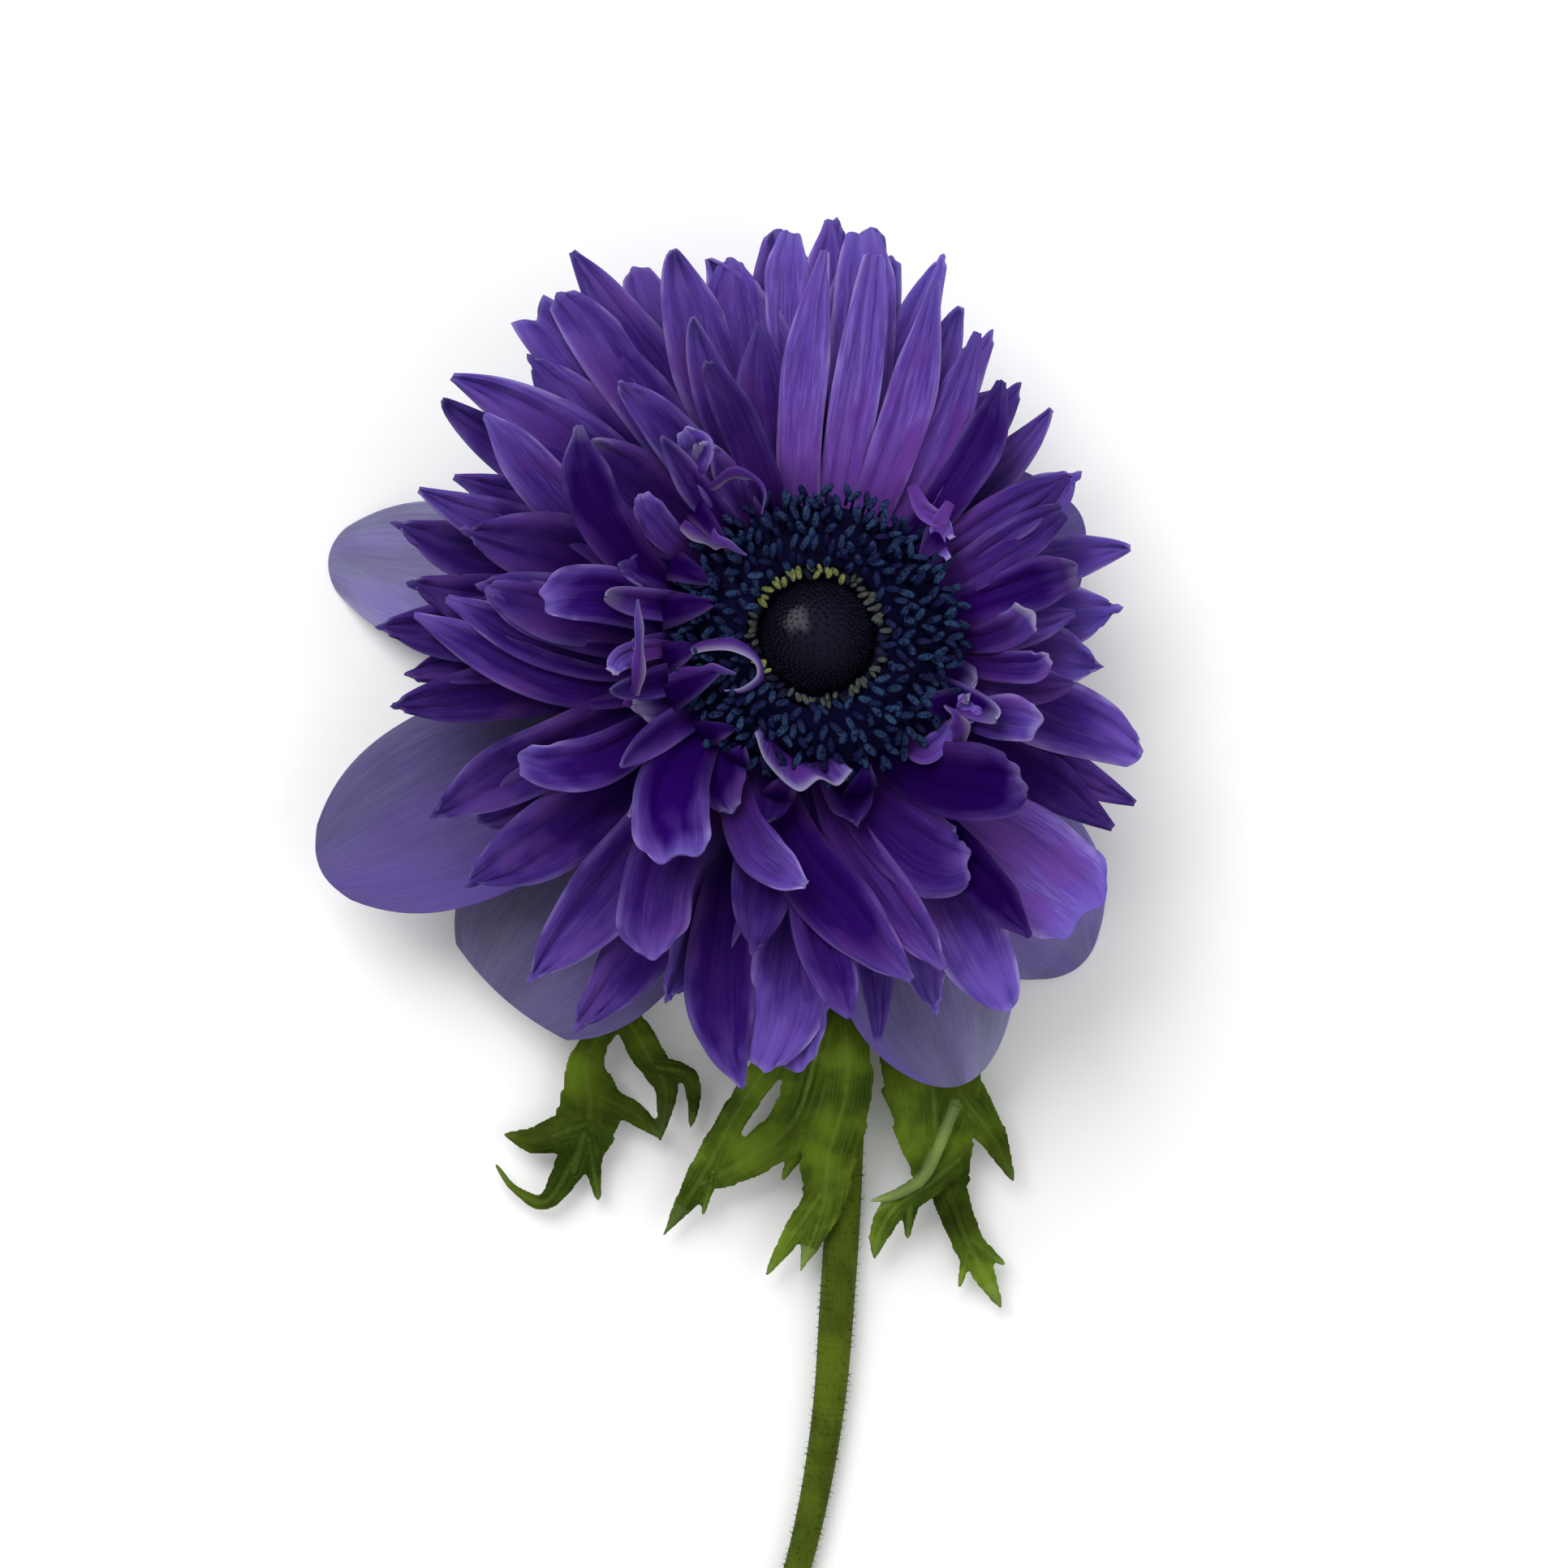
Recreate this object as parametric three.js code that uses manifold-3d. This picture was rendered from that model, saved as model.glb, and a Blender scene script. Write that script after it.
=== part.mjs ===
// Double crown anemone, cut and laid on its back: the bloom faces up and the stalk lies along the
// surface. Millimetres, +Z up. While it is modelled, the bloom's axis is the line x = 0, y = 0, the
// surface is z = 0, and angles run counterclockwise from +X. At the end the whole flower is moved,
// so that the bottom centre of its box is the origin.

import * as THREE from "three";
import { mergeVertices } from "three/addons/utils/BufferGeometryUtils.js";
import Module from "manifold-3d";

const wasm = await Module();
wasm.setup();

// Driving dimensions

const CLEARANCE = 0.3; // between neighbouring pieces
const PETAL_THICKNESS = 0.6;
const TEPAL_THICKNESS = 0.8;
const BRACT_THICKNESS = 0.7;

const RECEPTACLE_RADIUS = 5.2;
const RECEPTACLE_TOP = 23.1;
const RECEPTACLE_BOTTOM = 13.3;
const NECK_HEIGHT = 10.5; // where the receptacle has narrowed to the stalk
const NECK_FLARE_HEIGHT = 1.2; // above that height the stalk flares out
const NECK_FLARE = 1;
const STALK_RADIUS = 2.1;
const STALK_SIDES = 12;
const NECK_BEND_STEPS = 5;
const STALK_STEPS = 11;

const COLLAR_INNER = RECEPTACLE_RADIUS + CLEARANCE;
const COLLAR_OUTER = 8.5;

const RING_SEGMENTS = 24; // sides of every turned piece

const DISC_SEAT = RECEPTACLE_TOP + CLEARANCE; // where dome, pollen ring and stamens start
const DOME_RADIUS = 6.4;
const DOME_TOP = 31.5;
const DOME_ROWS = 8;
const DOME_FULLNESS = 0.7; // below 1 the dome's shoulders are fuller than a ball's
const DOME_BUMP = 0.05; // how deep its surface dips between the bumps, as a share of the radius
const POLLEN_RING_OUTER = 7.6;
const POLLEN_RING_TOP = 26.4;
const POLLEN_BEADS = 24;
const POLLEN_BEAD_RADIUS = 0.7;
const POLLEN_BEAD_SHAPE = [0.8, 1, 1.5]; // outwards, round the ring and upwards
const POLLEN_BEAD_UNEVEN = 0.3;
const STAMEN_BED_OUTER = 14.4;
const STAMEN_BED_TOP = 26.4;
const STAMEN_BED_THICKNESS = 1.3;
const STAMEN_BED_FALL = 0.4; // how much lower the bed is at its rim
const STAMEN_FOOT_WIDTH = 0.7;

const COLOURS = {
  stalk: 0x465c16,
  bract: 0x3c5a1a,
  tepal: 0x6a6592,
  lowerPetal: 0x4e3a96,
  middlePetal: 0x412a86,
  upperPetal: 0x4a3490,
  stamen: 0x0e1230,
  pollen: 0x6b7440,
  dome: 0x14161f,
};

// The stalk's lying stretch: x, y and radius at hand-chosen places, from the neck to the cut end
const STALK_ROUTE = [
  [0, -8.7, STALK_RADIUS],
  [1.2, -25, STALK_RADIUS],
  [3.4, -47, STALK_RADIUS],
  [3.2, -62, 2.1],
  [2.3, -77, 2.05],
  [1.4, -88, 1.88],
  [-0.6, -100, 1.68],
  [-3.6, -111, 1.55],
  [-9, -126, 1.5],
  [-18, -146, 1.55],
];

// How a blade ends: the share of its width left at the tip, how late it narrows, how far its
// corners are rounded back and its middle is notched (as shares of the width)
const TIPS = {
  pointed: { left: 0.12, late: 2.1, round: 0, notch: 0 },
  round: { left: 0.42, late: 2.8, round: 0.16, notch: 0 },
  blunt: { left: 0.62, late: 3.5, round: 0.08, notch: 0 },
  notched: { left: 0.72, late: 4, round: 0.1, notch: 0.35 },
};

// Broad tepals under the bloom: angle, reach, width, tip, root height and tip height. Those with a
// tip height of zero lie on the surface at their ends and carry the bloom. They alternate between
// an upper and a lower whorl, so that overlapping neighbours never meet.
const UPPER_WHORL = 15.9;
const LOWER_WHORL = 14.3;
const TEPALS = [
  { at: 170, reach: 56.9, width: 17.6, tip: "round", root: LOWER_WHORL, end: 0 },
  { at: 204.8, reach: 61.8, width: 22.5, tip: "round", root: UPPER_WHORL, end: 10 },
  { at: 229, reach: 54, width: 27, tip: "blunt", root: LOWER_WHORL, end: 5.8 },
  { at: 288, reach: 53, width: 20, tip: "round", root: UPPER_WHORL, end: 8 },
  { at: 309, reach: 48, width: 21, tip: "round", root: LOWER_WHORL, end: 0 },
  { at: 25, reach: 33, width: 19, tip: "round", root: UPPER_WHORL, end: 9 },
  { at: 87, reach: 42.5, width: 20, tip: "round", root: LOWER_WHORL, end: 0 },
  { at: 128, reach: 41, width: 19, tip: "round", root: UPPER_WHORL, end: 7 },
];
const TEPAL_ROOT_WIDTH = 4;
const TEPAL_CUP = 1.5; // how far its edges stand above its middle
const TEPAL_DROOP = 1.6; // above 1 it leaves the stalk level and bends down further out
const TEPAL_LANDING = 1.2;

// The three rings of narrow petals. Every petal of a ring lies on the ring's bowl, which starts at
// the collar, stays low as far as flatTo and rises by rise at the radius fullAt.
const LOWER_RING = { collar: [17, 18.6], flatTo: 8, fullAt: 46, rise: 4.2, power: 1.3, lift: 0.8 };
const MIDDLE_RING = { collar: [19.6, 21], flatTo: 9, fullAt: 40, rise: 8, power: 1.4, lift: 0.5 };
const UPPER_RING = { collar: [22.2, 23.1], flatTo: 12, fullAt: 30, rise: 10, power: 1.4, lift: 0.3 };
const PETAL_ROOT = 7.8; // the radius at which petals start, inside the collar
const PETAL_ROOT_SHARE = 0.22; // the width of a root, as a share of the petal's width
const LIFTS = [0, 1, -1]; // taken in turn, so that neighbours lie over each other
const LIFT_AT_ROOT = 0.2; // the share of its lift that a petal has at its root
const LIFT_REACHED = 0.25; // the share of a petal's length over which it comes to its lift
const PETAL_CUP = 0.1; // how far the edges stand above the middle, as a share of the width

// Petals: angle, reach, width, tip, sideways sweep and upward curl of the tip
const LOWER_PETALS = [
  [5.5, 34.2, 6.2, "round", 0, 0],
  [17.3, 36.5, 4.8, "pointed", 0, 0.6],
  [31, 34.8, 6, "round", 0, 0],
  [42.8, 36.6, 4.2, "pointed", 0, 0.5],
  [52.6, 36.2, 6.2, "round", 0, 0],
  [61.5, 39.4, 5, "round", 0, 0],
  [67, 40.4, 4.8, "pointed", 0, 0.6],
  [72.6, 44.7, 4.6, "round", 0, 0],
  [80.2, 43.2, 4.4, "blunt", 0, 0],
  [83.3, 45.8, 5.8, "round", 0, 0],
  [88.5, 46.5, 5.6, "round", 0, 0],
  [94.6, 45.5, 7, "round", 0, 0],
  [102.6, 43.5, 8.6, "pointed", 0, 0],
  [111, 46.5, 7, "pointed", 0, 0.8],
  [117, 46, 5.6, "blunt", 0, 0],
  [122, 50.5, 6, "pointed", 0, 0],
  [126.5, 47.8, 5.6, "blunt", 0, 0],
  [130.6, 49.4, 5.8, "notched", 0, 0],
  [136, 45, 6.4, "round", 0, 0],
  [143, 49.5, 6.6, "pointed", 0, 0],
  [149, 50, 5.6, "pointed", 0, 0.8],
  [154.6, 44, 5.4, "pointed", 0, 0],
  [160, 47, 5.6, "pointed", 0, 0],
  [166, 49, 7, "round", 0, 0],
  [174, 46, 6, "round", 0, 0],
  [180, 49, 6.4, "round", 0, 0],
  [184, 46, 5, "round", 0, 0],
  [189, 48, 5.6, "round", 0, 0],
  [203, 47.5, 6.4, "round", 0, 0],
  [209, 43, 5.6, "blunt", 0, 0],
  [217, 48, 7.2, "round", 0, 0],
  [231, 50, 6.8, "round", 0, 0],
  [240, 51.5, 6.4, "round", 0, 0],
  [249, 44, 6, "round", 0, 0],
  [256, 51, 13.2, "round", 1.8, 0],
  [268, 49, 9.6, "notched", 0, 0],
  [279.5, 45.5, 4.6, "pointed", 0, 0],
  [288, 44, 5.6, "round", 0, 0],
  [296, 46.5, 7.6, "round", 0, 0],
  [305.5, 41, 5, "pointed", 0, 0],
  [317, 38, 6, "round", 0, 0],
  [326.8, 39, 5, "pointed", 0, 0],
  [332, 39.8, 4.4, "pointed", 0, 0],
  [343, 38.3, 6.8, "round", 0, 0],
  [354.5, 32.4, 6, "round", 0, 0.5],
];
const MIDDLE_PETALS = [
  [15, 30, 5.4, "blunt", 0, 0.6],
  [26, 29.5, 5.4, "round", 0, 0.8],
  [64, 30, 5, "round", 0, 0.6],
  [99.5, 35, 7, "round", 0, 0],
  [113, 38, 4.4, "pointed", 0, 0.6],
  [127, 36, 4.4, "round", 0, 0.6],
  [139, 34.5, 5.4, "round", 0, 1],
  [148, 44, 5.4, "pointed", 0, 0],
  [163, 41, 7.4, "round", 0, 0],
  [173, 38, 6.4, "round", 0, 0],
  [183, 43.5, 5.4, "pointed", -2.5, 0],
  [200.5, 35.5, 5.4, "blunt", 0, 0],
  [223, 30, 3.4, "pointed", 0, 1],
  [242, 39.5, 8.6, "round", 0, 0],
  [256, 36, 6, "round", 0, 0],
  [276.5, 38, 6.6, "round", 0, 0],
  [286, 40, 5.4, "round", 0, 0],
  [303, 30, 7.6, "round", 0, 0.6],
  [324.5, 28, 7.6, "round", 0, 0.6],
  [341, 26, 5, "round", 0, 0.8],
];
const UPPER_PETALS = [
  [7, 24, 4.6, "round", 0, 1.6],
  [50, 22, 4, "round", 0, 1],
  [85, 24, 4.4, "round", 0, 0.6],
  [110.8, 33, 3.8, "round", 1, 1.2],
  [120.6, 26, 4.2, "pointed", 0, 1],
  [134.7, 23.5, 4, "round", 0, 1.8],
  [158, 24, 4.4, "round", 0, 0.8],
  [175, 30, 6, "notched", 0, 0.8],
  [188, 22.5, 3.8, "blunt", 0, 1.6],
  [204, 23, 4.4, "round", 0, 1],
  [236, 29.5, 7.4, "blunt", 0, 0.6],
  [252, 22, 5, "round", 0, 1],
  [267, 26.5, 5.2, "pointed", 3.5, 1],
  [283, 22, 5, "round", 0, 1.2],
  [303, 33.5, 4.4, "round", 0, 1.4],
  [316, 20, 4, "pointed", 0, 1],
  [328, 30, 4.4, "round", 1, 1.6],
  [341, 20, 4, "blunt", 0, 1.4],
];

// Small petals that stand at the stamens' edge and curl in over them: angle, width, where the tip
// ends (radius and height)
const PETALOID_FOOT = 16.4;
const PETALOID_SHOULDER = 17;
const PETALOID_SINK = 0.45; // how deep its foot is sunk in the petals under it
const PETALOID_DROP = 0.4; // how much lower its bend is than its tip
const PETALOID_CUP = 0.12; // how far its edges curl inwards, as a share of the width
const PETALOID_NARROWING = 0.75; // the share of its width that is gone at the tip
const PETALOIDS = [
  [50, 2.6, 15.2, 29.5],
  [113, 2.2, 14, 31],
  [134, 2.2, 13.4, 31],
  [204, 3, 12.2, 31.5],
  [236, 3.4, 15.2, 29.4],
  [252, 4, 15.4, 29],
  [267, 4.2, 15.6, 29.2],
  [283, 4, 15.6, 28.8],
];

// Stamens stand in rings on their bed: ring radius, how many, length and outward lean in degrees
const STAMEN_RINGS = [
  [9, 19, 4.8, 4],
  [10.8, 24, 4.2, 12],
  [12.4, 28, 3.4, 22],
  [13.8, 32, 2.8, 34],
];
const STAMEN_SINK = 0.6; // how deep a stamen's foot is sunk in the bed
const FILAMENT_RADIUS = 0.3;
const ANTHER_RADIUS = 0.85;
const ANTHER_SHARE = 0.75; // where a stamen is thickest, as a share of its length

// Bract lobes: hand-chosen points with x, y, z and the width there, from the stalk to the tip
const BRACT_LEFT = [
  [[-0.2, -36.5, 2.4, 3.4], [-14, -35.5, 4.8, 2.8], [-25.4, -46, 3.9, 3.6],
    [-25.9, -53.5, 3.4, 7.8], [-27.8, -60.6, 2.8, 4.8]],
  [[-27.4, -58.6, 3, 4.4], [-30.8, -64, 2.2, 2.4], [-34.4, -62.9, 1.9, 1.1], [-36.9, -59.8, 1.8, 0.5]],
  [[-26, -57, 3.2, 3.4], [-25, -64, 1.9, 0.8]],
  [[-26.4, -55.2, 3.6, 5], [-31.8, -57, 2.8, 3.8], [-35.8, -56.5, 2.2, 0.5]],
  [[-12, -35.8, 4.6, 2.4], [-21, -41.5, 4.5, 3.2], [-19.6, -46.6, 4.2, 4.2],
    [-17.2, -51, 4, 3], [-17.9, -57.2, 2.8, 0.6]],
  [[-24.6, -52, 3.9, 3.4], [-20.8, -54, 3.6, 2.8], [-17.6, -56.6, 3, 1.2]],
  [[-18.2, -48.6, 4.5, 2.8], [-14.8, -49.6, 4, 2.4], [-14, -52.4, 3.4, 1.8], [-14.4, -55.6, 2.6, 0.6]],
];
const BRACT_FRONT = [
  [[2.8, -35, 5.2, 3], [-4, -46, 6.4, 4.2], [-9, -53.6, 5.5, 3.6],
    [-12.8, -60.7, 4.2, 4], [-17.5, -68, 2.4, 0.6]],
  [[2.8, -36, 5.25, 3], [0, -47, 6.6, 6.6], [-2.6, -54.7, 5.9, 6],
    [-8, -59.2, 4.8, 4.8], [-13.4, -62, 3.9, 2.6]],
  [[-11.8, -60.6, 4.4, 1.8], [-13, -65.6, 3.4, 0.5]],
  [[-1.6, -56.6, 5.6, 3.4], [-3.9, -61.6, 4.4, 0.5]],
  [[2.8, -36.5, 5.3, 3.2], [3.5, -50, 6.7, 6.2], [1.4, -58.5, 6, 6.8],
    [0.8, -64.2, 5.2, 5], [-1.8, -72, 3.3, 0.7]],
  [[0.4, -63.2, 5.4, 3.4], [-2.9, -68, 4.4, 2.6], [-5.7, -72.5, 3, 0.6]],
];
const BRACT_RIGHT = [
  [[5.7, -34.6, 2.4, 2.6], [9.8, -41.5, 4.2, 7], [13, -49.5, 4.8, 12],
    [13.8, -57.6, 4.4, 8.8], [15.4, -64, 3.8, 4.8]],
  [[15, -62.4, 3.9, 4.4], [16.9, -67.8, 3.2, 4], [18.8, -71.6, 2.8, 3.2], [21.2, -76.4, 1.8, 0.8]],
  [[16.4, -51.6, 4.6, 6], [20, -56.4, 4, 3.8], [22.6, -61.8, 3, 0.6]],
  [[17.8, -68.4, 3.2, 2.4], [21.6, -71.4, 2.4, 0.6]],
  [[17.4, -69.6, 3, 2], [16.4, -74, 2, 0.5]],
  [[15.8, -53, 5.6, 1.4], [12.6, -60.4, 6.4, 1.5], [9.4, -62.8, 6, 1.4], [6.2, -63.9, 5.4, 0.5]],
  [[16.4, -59, 4.8, 3], [12.4, -62.2, 5.2, 3.6], [9, -64.6, 4.9, 3.4],
    [7.3, -67.4, 4.4, 2.7], [6.6, -70.6, 3.8, 0.6]],
  [[10.8, -63, 5, 3], [10.4, -68.2, 4.2, 0.6]],
];

// Meshes and solids

/** One closed mesh: shared vertices are merged and triangles that have shrunk to a line are dropped. */
function weld(geometry) {
  geometry.deleteAttribute("normal");
  geometry.deleteAttribute("uv");
  const welded = mergeVertices(geometry, 1e-4);
  const corners = Array.from(welded.index.array);
  const kept = [];
  for (let i = 0; i < corners.length; i += 3) {
    const [a, b, c] = corners.slice(i, i + 3);
    if (a !== b && b !== c && c !== a) {
      kept.push(a, b, c);
    }
  }
  welded.setIndex(kept);
  return welded;
}

/** The solid that a closed mesh bounds. */
function toSolid(geometry) {
  const mesh = new wasm.Mesh({
    numProp: 3,
    vertProperties: Float32Array.from(geometry.attributes.position.array),
    triVerts: Uint32Array.from(geometry.index.array),
  });
  return new wasm.Manifold(mesh);
}

/** Joins solids into one body, fills any hollow that the joining seals, and returns its mesh. */
function fuse(solids) {
  const joined = solids.reduce((body, solid) => body.add(solid));
  const bodies = joined.decompose();
  const body = bodies.reduce((largest, other) => (other.volume() > largest.volume() ? other : largest));
  const { vertProperties, triVerts } = body.getMesh();
  const geometry = new THREE.BufferGeometry();
  geometry.setAttribute("position", new THREE.Float32BufferAttribute(vertProperties, 3));
  geometry.setIndex(Array.from(triVerts));
  return geometry;
}

/** A sheet of columns by rows cells. pointAt(along, across) places it: along runs 0 to 1, across -1 to 1. */
function makeSheet(columns, rows, pointAt) {
  const sheet = new THREE.PlaneGeometry(2, 1, columns, rows);
  const position = sheet.attributes.position;
  for (let i = 0; i < position.count; i += 1) {
    const point = pointAt(0.5 - position.getY(i), position.getX(i));
    position.setXYZ(i, point.x, point.y, point.z);
  }
  sheet.computeVertexNormals();
  return sheet;
}

/** A closed blade: the sheet is its upper face, and its lower face has the same triangles. */
function thicken(sheet, thickness) {
  const upper = sheet.attributes.position;
  const normal = sheet.attributes.normal;
  const count = upper.count;
  const positions = Array.from(upper.array);
  for (let i = 0; i < count; i += 1) {
    positions.push(
      upper.getX(i) - thickness * normal.getX(i),
      upper.getY(i) - thickness * normal.getY(i),
      upper.getZ(i) - thickness * normal.getZ(i),
    );
  }
  const corners = Array.from(sheet.index.array);
  const edges = new Set();
  const triangles = [];
  for (let i = 0; i < corners.length; i += 3) {
    const [a, b, c] = corners.slice(i, i + 3);
    triangles.push(a, b, c, a + count, c + count, b + count);
    edges.add(`${a},${b}`).add(`${b},${c}`).add(`${c},${a}`);
  }
  for (const edge of edges) {
    const [from, to] = edge.split(",").map(Number);
    if (!edges.has(`${to},${from}`)) {
      triangles.push(to, from, from + count, to, from + count, to + count);
    }
  }
  const blade = new THREE.BufferGeometry();
  blade.setAttribute("position", new THREE.Float32BufferAttribute(positions, 3));
  blade.setIndex(triangles);
  return blade;
}

/** A solid turned about the bloom's axis from profile points of [radius, height]. */
function turned(profile, segments) {
  const points = profile.map(([radius, height]) => new THREE.Vector2(radius, height));
  const lathe = new THREE.LatheGeometry(points, segments);
  lathe.rotateX(Math.PI / 2);
  return weld(lathe);
}

/** A flat-faced ring between two radii and two heights. */
function ring(inner, outer, bottom, top, segments) {
  return turned([[inner, bottom], [outer, bottom], [outer, top], [inner, top], [inner, bottom]], segments);
}

// Blade outlines

const WIDEST = 0.62; // where a blade is widest, as a share of its length

/** Half the width of a blade at a share of its length. */
function halfWidth(along, width, rootWidth, tip) {
  if (along < WIDEST) {
    const share = Math.sin((Math.PI / 2) * (along / WIDEST));
    return (rootWidth + (width - rootWidth) * share) / 2;
  }
  const past = (along - WIDEST) / (1 - WIDEST);
  return (width * (1 - (1 - tip.left) * past ** tip.late)) / 2;
}

/** A point at a radius along a direction from the bloom's axis, moved sideways. */
function polar(degrees, radius, sideways, height) {
  const angle = THREE.MathUtils.degToRad(degrees);
  const x = radius * Math.cos(angle) - sideways * Math.sin(angle);
  const y = radius * Math.sin(angle) + sideways * Math.cos(angle);
  return new THREE.Vector3(x, y, height);
}

/** How far a blade's end is set back, to round its corners or notch its middle. */
function setBack(along, across, width, tip) {
  const nearTip = along ** 6;
  return width * nearTip * (tip.round * across ** 2 + tip.notch * (1 - Math.abs(across)));
}

// The stalk and the receptacle

/** Cross-sections of the stalk from the receptacle's top to the cut end. */
function stalkStations() {
  const flat = Math.cos(Math.PI / STALK_SIDES); // a facet's distance from the middle, for radius 1
  const low = STALK_RADIUS * flat;
  const bendRadius = NECK_HEIGHT - low;
  const stations = [
    [RECEPTACLE_TOP, RECEPTACLE_RADIUS],
    [RECEPTACLE_BOTTOM, RECEPTACLE_RADIUS],
    [NECK_HEIGHT + NECK_FLARE_HEIGHT, STALK_RADIUS + NECK_FLARE],
  ].map(([height, radius]) => ({ centre: new THREE.Vector3(0, 0, height), heading: 0, radius }));
  for (let i = 0; i < NECK_BEND_STEPS; i += 1) {
    const heading = ((Math.PI / 2) * i) / NECK_BEND_STEPS;
    const y = -bendRadius * (1 - Math.cos(heading));
    const z = low + bendRadius * (1 - Math.sin(heading));
    stations.push({ centre: new THREE.Vector3(0, y, z), heading, radius: STALK_RADIUS });
  }
  for (const station of stations) {
    station.side = new THREE.Vector3(1, 0, 0);
    station.up = new THREE.Vector3(0, -Math.cos(station.heading), Math.sin(station.heading));
  }
  const route = new THREE.CatmullRomCurve3(STALK_ROUTE.map((point) => new THREE.Vector3(...point)));
  for (let i = 0; i <= STALK_STEPS; i += 1) {
    const { x, y, z: radius } = route.getPoint(i / STALK_STEPS);
    const direction = route.getTangent(i / STALK_STEPS).setZ(0).normalize();
    stations.push({
      centre: new THREE.Vector3(x, y, radius * flat),
      side: new THREE.Vector3(-direction.y, direction.x, 0),
      up: new THREE.Vector3(0, 0, 1),
      radius,
    });
  }
  return stations;
}

/** The stalk with the receptacle at its top: a cylinder whose rows are set on the stations. */
function makeStalk() {
  const stations = stalkStations();
  const steps = stations.length - 1;
  const halfFacet = Math.PI / STALK_SIDES;
  const stalk = new THREE.CylinderGeometry(1, 1, 1, STALK_SIDES, steps, false, halfFacet);
  const position = stalk.attributes.position;
  for (let i = 0; i < position.count; i += 1) {
    const { centre, side, up, radius } = stations[Math.round((0.5 - position.getY(i)) * steps)];
    const point = centre.clone();
    point.addScaledVector(side, radius * position.getX(i));
    point.addScaledVector(up, radius * position.getZ(i));
    position.setXYZ(i, point.x, point.y, point.z);
  }
  return weld(stalk);
}

// Bracts

/** A lobe of a bract: a strap through points of x, y, z and width. */
function makeLobe(points) {
  const middle = new THREE.CatmullRomCurve3(points.map(([x, y, z]) => new THREE.Vector3(x, y, z)));
  const widths = points.map((point) => point[3]);
  const rows = Math.ceil(1.4 * (points.length - 1)) + 1;
  const sheet = makeSheet(1, rows, (along, across) => {
    const centre = middle.getPoint(along);
    const direction = middle.getTangent(along).setZ(0).normalize();
    const place = along * (widths.length - 1);
    const before = Math.min(Math.floor(place), widths.length - 2);
    const half = THREE.MathUtils.lerp(widths[before], widths[before + 1], place - before) / 2;
    centre.x -= across * half * direction.y;
    centre.y += across * half * direction.x;
    return centre;
  });
  return toSolid(thicken(sheet, BRACT_THICKNESS));
}

// Tepals and petals

/** A broad tepal that droops from under the rings. Where it meets the surface it lies flat. */
function makeTepal({ at, reach, width, tip, root, end }) {
  const shape = TIPS[tip];
  const length = reach - COLLAR_INNER;
  const goal = end === 0 ? -TEPAL_LANDING : end; // aims below the surface, so that its end lies flat
  const sheet = makeSheet(4, 6, (along, across) => {
    const radius = COLLAR_INNER + length * along - setBack(along, across, width, shape) / 2;
    const half = halfWidth(along, width, TEPAL_ROOT_WIDTH, shape);
    const drooped = root - (root - goal) * along ** TEPAL_DROOP;
    const height = drooped + TEPAL_CUP * across ** 2 * Math.sin(Math.PI * Math.min(along, 0.75));
    return polar(at, radius, across * half, Math.max(height, TEPAL_THICKNESS));
  });
  return thicken(sheet, TEPAL_THICKNESS);
}

/** The height of a ring's bowl at a radius. */
function bowlHeight(bowl, radius) {
  const out = Math.max(0, radius - bowl.flatTo) / (bowl.fullAt - bowl.flatTo);
  return (bowl.collar[0] + bowl.collar[1] + PETAL_THICKNESS) / 2 + bowl.rise * out ** bowl.power;
}

/** One narrow petal of a ring. */
function makePetal(bowl, [at, reach, width, tip, sweep, curl], index) {
  const shape = TIPS[tip];
  const lift = bowl.lift * LIFTS[index % LIFTS.length];
  const sheet = makeSheet(2, 4, (along, across) => {
    const radius = PETAL_ROOT + (reach - PETAL_ROOT) * along - setBack(along, across, width, shape);
    const half = halfWidth(along, width, PETAL_ROOT_SHARE * width, shape);
    const eased = THREE.MathUtils.lerp(LIFT_AT_ROOT, 1, Math.min(1, along / LIFT_REACHED));
    const raised = lift * eased + PETAL_CUP * width * across ** 2 * Math.min(1, 3 * along);
    const height = bowlHeight(bowl, radius) + raised + curl * along ** 5;
    return polar(at, radius, across * half + sweep * along ** 2, height);
  });
  return toSolid(thicken(sheet, PETAL_THICKNESS));
}

/** A small petal that stands at the stamens' edge and curls in over them. */
function makePetaloid([at, width, tipRadius, tipHeight]) {
  const foot = bowlHeight(UPPER_RING, PETALOID_FOOT) - PETALOID_SINK;
  const profile = new THREE.CatmullRomCurve3([
    new THREE.Vector3(PETALOID_FOOT, 0, foot),
    new THREE.Vector3(PETALOID_SHOULDER, 0, (foot + tipHeight) / 2),
    new THREE.Vector3((PETALOID_SHOULDER + tipRadius) / 2, 0, tipHeight - PETALOID_DROP),
    new THREE.Vector3(tipRadius, 0, tipHeight),
  ]);
  const sheet = makeSheet(2, 4, (along, across) => {
    const { x: radius, z: height } = profile.getPoint(along);
    const half = (width / 2) * (1 - PETALOID_NARROWING * along ** 2);
    return polar(at, radius - PETALOID_CUP * width * across ** 2, across * half, height);
  });
  return toSolid(thicken(sheet, PETAL_THICKNESS));
}

/** A ring of petals grown from one collar. */
function makeRing(bowl, petals, extras = []) {
  const collar = toSolid(ring(COLLAR_INNER, COLLAR_OUTER, ...bowl.collar, RING_SEGMENTS));
  return fuse([collar, ...petals.map((petal, index) => makePetal(bowl, petal, index)), ...extras]);
}

// The middle of the bloom

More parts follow.
